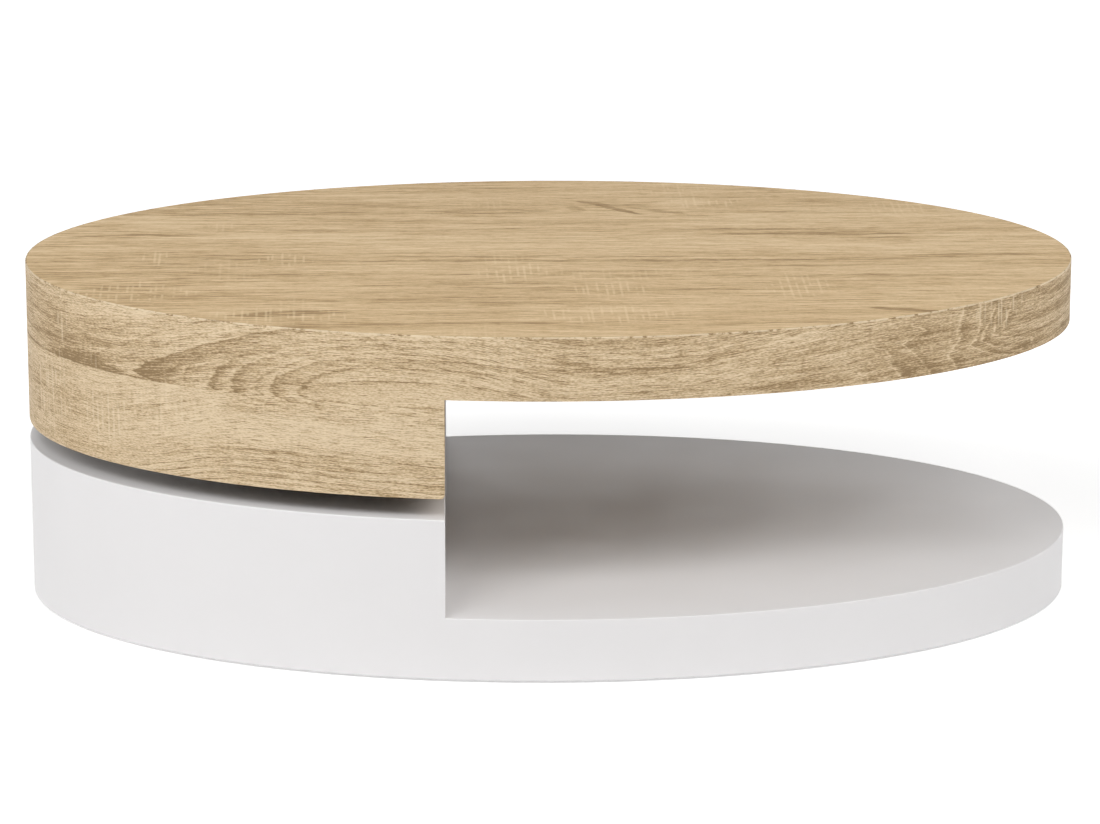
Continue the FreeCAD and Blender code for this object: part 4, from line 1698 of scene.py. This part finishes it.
    def build_band(self) -> bpy.types.Object:
        """Builds the bent band with its rounded upper edge and the block's rounded corners.

        Returns:
            The band.
        """
        band = BandMesh()
        columns = self.band_columns()
        places = [column.place for column in columns if column.low == self.drop_under]
        rows = [[band.vertex(column.place, depth, (*self.oval.point(column.angle, depth), height))
                 for depth, height in self.profile(column, (places[0], places[-1]))] for column in columns]
        lows = [column.low for column in columns]
        for left, right, low, next_low in zip(rows, rows[1:], lows, lows[1:]):
            if low == next_low:
                for index in range(len(left)):
                    after = (index + 1) % len(left)
                    band.mesh.faces.new((left[index], right[index], right[after], left[after]))
        block = [row for row, low in zip(rows, lows) if low == self.drop_under]
        for row in (block[0], block[-1]):
            band.mesh.faces.new((row[0], row[1], row[-2], row[-1]))
        for row in (rows[0], rows[-1]):
            band.mesh.faces.new(row)
        band.unroll()
        return new_piece("oak_edge_band", band.mesh, self.band_smooth)


@dataclass(frozen=True)
class SoftBox:
    """A soft light: degrees to the right of the front, degrees above the floor and power in watts."""

    name: str
    azimuth: float
    elevation: float
    power: float


@dataclass
class Studio:
    """The pale floor, the soft lights, the white surroundings and the camera."""

    camera_place: tuple[float, float, float] = (-0.0866, -4.7271, 1.5496)
    camera_pitch: float = math.radians(73.766)
    camera_yaw: float = -0.01856
    camera_roll: float = 0.0011
    camera_reach: float = 100.0
    lens: float = 166.87
    sensor: float = 36.0
    floor_side: float = 30.0
    floor_cells: int = 8
    floor_smooth: float = math.radians(30)
    floor_colour: tuple[float, ...] = (0.86, 0.86, 0.86, 1.0)
    floor_roughness: float = 0.9
    near_glow: Fade = Fade(0.6, 3.0, 0.54, 0.85, False)
    far_glow: Fade = Fade(3.0, 6.0, 0.0, 0.15, False)
    seen_rays: tuple[str, ...] = ("Is Camera Ray", "Is Glossy Ray", "Is Transmission Ray")
    surround_strength: float = 0.02
    soft_box: Spot = (1.9, 1.5)
    light_aim: float = 0.2
    light_distance: float = 4.4
    lights: tuple[SoftBox, ...] = (
        SoftBox("front_left_soft_box", -28.0, 45.0, 67.0), SoftBox("front_right_soft_box", 28.0, 45.0, 42.0),
        SoftBox("low_left_soft_box", -55.0, 22.0, 28.0), SoftBox("left_soft_box", -80.0, 30.0, 47.0),
        SoftBox("right_soft_box", 55.0, 35.0, 45.0), SoftBox("low_right_soft_box", 80.0, 25.0, 32.0),
        SoftBox("rear_soft_box", 180.0, 50.0, 20.0))

    def build_camera(self) -> None:
        """Builds the camera at the photograph's viewing angle."""
        data = bpy.data.cameras.new("view")
        data.lens = self.lens
        data.sensor_width = self.sensor
        data.clip_end = self.camera_reach
        camera = bpy.data.objects.new("view", data)
        turn = (Matrix.Rotation(self.camera_yaw, 4, "Z") @ Matrix.Rotation(self.camera_pitch, 4, "X")
                @ Matrix.Rotation(self.camera_roll, 4, "Z"))
        camera.matrix_world = Matrix.Translation(self.camera_place) @ turn
        bpy.context.scene.collection.objects.link(camera)
        bpy.context.scene.camera = camera

    def seen(self, graph: Graph) -> Feed:
        """Returns 1 where the camera, a reflection or clear material looks, and 0 for light."""
        path = graph.node("ShaderNodeLightPath")
        return graph.highest(*[path.outputs[name] for name in self.seen_rays])

    def build_floor(self) -> None:
        """Builds the pale floor, which keeps the table's shadow."""
        mesh = bmesh.new()
        bmesh.ops.create_grid(mesh, x_segments=self.floor_cells, y_segments=self.floor_cells,
                              size=self.floor_side / 2)
        floor = new_piece("studio_floor", mesh, self.floor_smooth)
        skin = Skin("pale_floor")
        graph = skin.graph
        x, y, _ = skin.place()
        distance = graph.math("SQRT", graph.add(graph.product(x, x), graph.product(y, y)))
        glow = graph.add(graph.fade(distance, self.near_glow), graph.fade(distance, self.far_glow))
        skin.set(Base_Color=self.floor_colour, Roughness=self.floor_roughness, Specular_IOR_Level=0.0,
                 Emission_Color=WHITE, Emission_Strength=graph.product(self.seen(graph), glow))
        floor.data.materials.append(skin.material)

    def build_surroundings(self) -> None:
        """Builds the white world, which lights the table softly."""
        world = bpy.data.worlds.new("white_surroundings")
        world.use_nodes = True
        graph = Graph(world.node_tree)
        back = next(node for node in world.node_tree.nodes if node.type == "BACKGROUND")
        strength = graph.remap(self.seen(graph), 0.0, 1.0, self.surround_strength, 1.0)
        graph.feed(back.inputs["Color"], WHITE)
        graph.feed(back.inputs["Strength"], strength)
        bpy.context.scene.world = world

    def build_light(self, box: SoftBox) -> None:
        """Builds a soft box that faces the table.

        Args:
            box: the soft box.
        """
        data = bpy.data.lights.new(box.name, "AREA")
        data.shape = "RECTANGLE"
        data.size, data.size_y = self.soft_box
        data.energy = box.power
        light = bpy.data.objects.new(box.name, data)
        turn, lift = math.radians(box.azimuth), math.radians(box.elevation)
        aim = Vector((math.sin(turn) * math.cos(lift), -math.cos(turn) * math.cos(lift), math.sin(lift)))
        place = Vector((0.0, 0.0, self.light_aim)) + aim * self.light_distance
        light.matrix_world = Matrix.Translation(place) @ aim.to_track_quat("Z", "Y").to_matrix().to_4x4()
        bpy.context.scene.collection.objects.link(light)

    def build(self) -> None:
        """Builds the whole studio."""
        bpy.context.scene.view_settings.view_transform = "Standard"
        self.build_camera()
        self.build_floor()
        self.build_surroundings()
        for box in self.lights:
            self.build_light(box)


TOP_STREAKS = (
    Streak((-0.397, -0.121), 0.064, 0.013, 0.02, 0.36, 0.5),
    Streak((-0.241, -0.213), 0.070, 0.012, 0.13, 0.46, 0.45),
    Streak((0.324, -0.206), 0.044, 0.006, -0.22, 0.50, 0.5),
    Streak((-0.062, -0.211), 0.085, 0.005, 0.13, 0.30),
    Streak((-0.280, -0.014), 0.150, 0.005, -0.07, 0.36),
    Streak((0.040, -0.023), 0.330, 0.007, 0.0, 0.34),
    Streak((0.380, -0.010), 0.150, 0.012, 0.10, 0.26),
    Streak((-0.020, -0.008), 0.200, 0.006, -0.02, 0.22),
    Streak((-0.397, 0.078), 0.100, 0.014, 0.05, 0.34),
    Streak((-0.230, 0.094), 0.140, 0.006, 0.0, 0.22),
    Streak((0.274, 0.078), 0.150, 0.008, 0.0, 0.34),
    Streak((0.200, 0.097), 0.110, 0.005, 0.0, 0.24),
    Streak((0.330, 0.077), 0.060, 0.005, 0.0, 0.28),
    Streak((-0.320, 0.166), 0.190, 0.012, 0.0, 0.28),
    Streak((-0.056, 0.171), 0.074, 0.014, 0.0, 0.36),
    Streak((-0.060, 0.171), 0.052, 0.008, 0.0, -0.30),
    Streak((0.048, 0.203), 0.024, 0.008, -0.5, 0.40),
    Streak((0.072, 0.177), 0.028, 0.008, -0.9, 0.56, 0.5),
    Streak((0.112, 0.171), 0.036, 0.008, -0.5, 0.30),
    Streak((0.030, 0.180), 0.012, 0.016, -0.6, 0.24),
    Streak((0.135, 0.200), 0.040, 0.024, 0.2, -0.22),
    Streak((0.200, 0.168), 0.110, 0.006, 0.0, 0.22),
    Streak((-0.100, -0.250), 0.220, 0.008, 0.0, 0.16),
    Streak((0.180, -0.080), 0.180, 0.007, 0.03, 0.20),
    Streak((0.330, -0.082), 0.130, 0.006, 0.0, 0.20),
    Streak((-0.100, -0.110), 0.160, 0.006, 0.04, 0.20),
    Streak((-0.300, 0.200), 0.240, 0.050, 0.0, 0.17),
    Streak((-0.400, -0.040), 0.240, 0.200, 0.0, 0.11),
    Streak((-0.240, -0.210), 0.300, 0.080, 0.0, 0.08),
)
TOP_TICKS = (
    TickField((-0.376, -0.010), 0.018, 0.030),
    TickField((-0.253, -0.018), 0.030, 0.026),
    TickField((-0.035, -0.063), 0.040, 0.040),
    TickField((0.056, -0.132), 0.042, 0.030),
    TickField((0.232, -0.120), 0.036, 0.045),
    TickField((0.050, -0.220), 0.070, 0.030),
    TickField((-0.390, -0.135), 0.062, 0.034),
    TickField((-0.250, -0.220), 0.072, 0.028),
    TickField((0.132, 0.262), 0.040, 0.036, 0.6),
    TickField((0.152, 0.206), 0.046, 0.022),
    TickField((0.350, 0.180), 0.050, 0.028, 0.6),
    TickField((-0.320, 0.112), 0.024, 0.020, 0.6),
)
TOP_PLANKS = (Plank(-0.198, 0.0), Plank(-0.022, 0.06), Plank(0.159, -0.05))
SIDE_STREAKS = (
    Streak((-0.475, 0.2650), 0.068, 0.018, 0.0, 0.54),
    Streak((-0.500, 0.2760), 0.075, 0.015, 0.0, 0.24),
    Streak((-0.470, 0.2880), 0.048, 0.006, 0.05, 0.30),
    Streak((-0.550, 0.2790), 0.060, 0.004, 0.0, 0.22),
    Streak((-0.545, 0.3000), 0.055, 0.003, 0.0, 0.20),
    Streak((0.050, 0.2995), 0.090, 0.004, 0.0, 0.32),
    Streak((0.000, 0.3060), 0.060, 0.003, -0.1, 0.24),
    Streak((0.165, 0.3105), 0.035, 0.003, 0.12, 0.28),
    Streak((0.080, 0.3110), 0.070, 0.0025, 0.0, -0.24),
    Streak((0.215, 0.3200), 0.045, 0.0025, 0.17, -0.26),
    Streak((0.220, 0.2850), 0.075, 0.0025, 0.05, -0.22),
    Streak((0.230, 0.2765), 0.075, 0.0060, 0.02, 0.30),
    Streak((0.345, 0.2780), 0.024, 0.018, -0.3, 0.22),
    Streak((0.545, 0.3020), 0.090, 0.0045, 0.0, 0.30),
    Streak((0.560, 0.2880), 0.080, 0.0035, 0.0, 0.28),
    Streak((0.530, 0.2770), 0.110, 0.0040, 0.0, 0.26),
    Streak((0.570, 0.3190), 0.060, 0.0040, 0.0, 0.24),
)
SIDE_TICKS = (
    TickField((-0.535, 0.225), 0.045, 0.040),
    TickField((-0.445, 0.220), 0.034, 0.026),
    TickField((-0.370, 0.238), 0.040, 0.026, 0.7),
    TickField((-0.508, 0.296), 0.010, 0.045),
    TickField((0.445, 0.321), 0.040, 0.018),
)

SIDE_OAK = Palette((0.272, 0.182, 0.090), (0.436, 0.310, 0.170), (0.605, 0.456, 0.280), (0.750, 0.604, 0.410),
                   (0.780, 0.650, 0.460))
# Painted shade: the overhang's underside wears a darker, greyer oak so that less warm light reaches the shelf
# and the shade there stays deep.
SHELF_SHADE_SOFFIT_OAK = Palette((0.160, 0.106, 0.058), (0.244, 0.169, 0.096), (0.328, 0.231, 0.138),
                     (0.400, 0.292, 0.186))
# Painted shade: the block's underside is nearly black so that the gap above the pedestal stays dark.
GAP_SHADE_UNDER_OAK = Palette((0.090, 0.070, 0.052), (0.150, 0.120, 0.092), (0.210, 0.175, 0.138),
                    (0.270, 0.230, 0.185))

TOP_DECOR = OakDecor(
    "oak_decor_top", tone=0.63, bands=Layer(1.0, 0.60, 0.030, 2.0, 0.26),
    lines=Layer(2.0, 0.16, 0.0050, 3.0, 0.24), fibres=Layer(3.0, 0.036, 0.0024, 2.0, 0.34),
    pores=Layer(4.0, 0.015, 0.0007, 1.0, 0.30),
    speckle=Layer(6.0, 0.0035, 0.0009, 1.0, 0.20), threads=ThreadLook(0.30, 0.0070, 0.06, 0.26),
    fray_wave=Wave(18.0, 0.014, 0.0010, 0.012), fibre_bite=Fade(0.0, 1.0, 1.8, 0.2, False),
    streaks=TOP_STREAKS, planks=TOP_PLANKS, ticks=TOP_TICKS, tick_strength=0.38)
SIDE_DECOR = FlameOakDecor(
    "oak_decor_side", seed=20.0, palette=SIDE_OAK, tone=0.68, bands=Layer(1.0, 0.60, 0.030, 2.0, 0.22),
    lines=Layer(2.0, 0.16, 0.0050, 3.0, 0.26), fibres=Layer(3.0, 0.018, 0.0010, 2.0, 0.44),
    pores=Layer(4.0, 0.015, 0.0007, 1.0, 0.42), speckle=Layer(6.0, 0.0035, 0.0009, 1.0, 0.60),
    threads=ThreadLook(0.080, 0.0034, 0.06, 0.34), fibre_follow=0.7, streaks=SIDE_STREAKS, ticks=SIDE_TICKS,
    tick_strength=0.46, relief=0.00014)
FACE_DECOR = OakDecor("oak_decor_upright", GrainAxes.DEPTH_HEIGHT, 60.0,
                      replace(SIDE_OAK, ticks=Palette.ticks), threads=ThreadLook(0.080, 0.0034, 0.055, 0.20))
# Painted shade: this darker oak goes under the overhang to deepen the shade on the shelf.
SHELF_SHADE_SOFFIT_DECOR = OakDecor("oak_darkened_for_shelf_shade", GrainAxes.LENGTH_DEPTH, 40.0, SHELF_SHADE_SOFFIT_OAK)
# Painted shade: this nearly black oak goes under the block to darken the gap above the pedestal.
GAP_SHADE_UNDER_DECOR = OakDecor("oak_darkened_for_gap_shade", GrainAxes.LENGTH_DEPTH, 50.0, GAP_SHADE_UNDER_OAK)
WHITE_LACQUER = Lacquer()
CORE = Fibreboard()
BEECH_ROD = BeechRod()
ALUMINIUM = TurnedMetal("turned_aluminium", Slot.ALUMINIUM, (0.80, 0.81, 0.82), (0.68, 0.69, 0.70),
                        0.32, 0.0006)
ZINC_STEEL = TurnedMetal("zinc_plated_steel", Slot.STEEL, (0.66, 0.66, 0.65), (0.50, 0.50, 0.48),
                         0.38, 0.0004)
NYLON = Moulded("natural_nylon", Slot.NYLON, (0.80, 0.78, 0.72), (0.70, 0.67, 0.60), 0.45)
GLIDE_PLASTIC = Moulded("black_glide_plastic", Slot.GLIDE, (0.025, 0.025, 0.026), (0.060, 0.060, 0.060), 0.50)


@dataclass
class LowerHalf:
    """The white half that stands on the floor: board, shelf and pedestal, with what holds them."""

    lacquered: tuple[str, ...] = ("base_bottom_panel", "base_frame_ring", "shelf_panel", "pedestal_wall",
                                  "pedestal_face_panel", "pedestal_top_panel")
    cores: tuple[str, ...] = ("base_rail_front", "base_rail_rear", "base_cross_rib_inner",
                              "base_cross_rib_outer", "pedestal_rib_front", "pedestal_rib_rear")
    screws: tuple[str, ...] = ("glide_screws", "bottom_panel_screws")

    def dress(self, store: FinishStore) -> None:
        """Gives the CAD pieces of the half their finishes.

        Args:
            store: where the finishes come from.
        """
        store.dress_nodes(((WHITE_LACQUER, self.lacquered), (CORE, self.cores),
                           (BEECH_ROD, ("pedestal_dowels",)), (GLIDE_PLASTIC, ("floor_glides",)),
                           (ZINC_STEEL, self.screws)))


@dataclass
class SwivelRace:
    """The ball race between the halves and the king bolt through it."""

    rings: tuple[str, ...] = ("lower_race_ring", "upper_race_ring")
    fixings: tuple[str, ...] = ("lower_race_screws", "upper_race_screws", "pivot_bolt", "pivot_washers",
                                "pivot_lock_nut", "bearing_balls")
    plastics: tuple[str, ...] = ("ball_cage", "pivot_bush")

    def dress(self, store: FinishStore) -> None:
        """Gives the CAD pieces of the race their finishes.

        Args:
            store: where the finishes come from.
        """
        store.dress_nodes(((ALUMINIUM, self.rings), (ZINC_STEEL, self.fixings), (NYLON, self.plastics)))


def main() -> None:
    """Builds the studio and the table's sub-assemblies in order."""
    logging.basicConfig(level=logging.INFO)
    Studio().build()
    store = FinishStore()
    LowerHalf().dress(store)
    SwivelRace().dress(store)
    upper = UpperHalf.from_frame()
    upper.dress(store)
    upper.build(store)


if __name__ == "__main__":
    main()
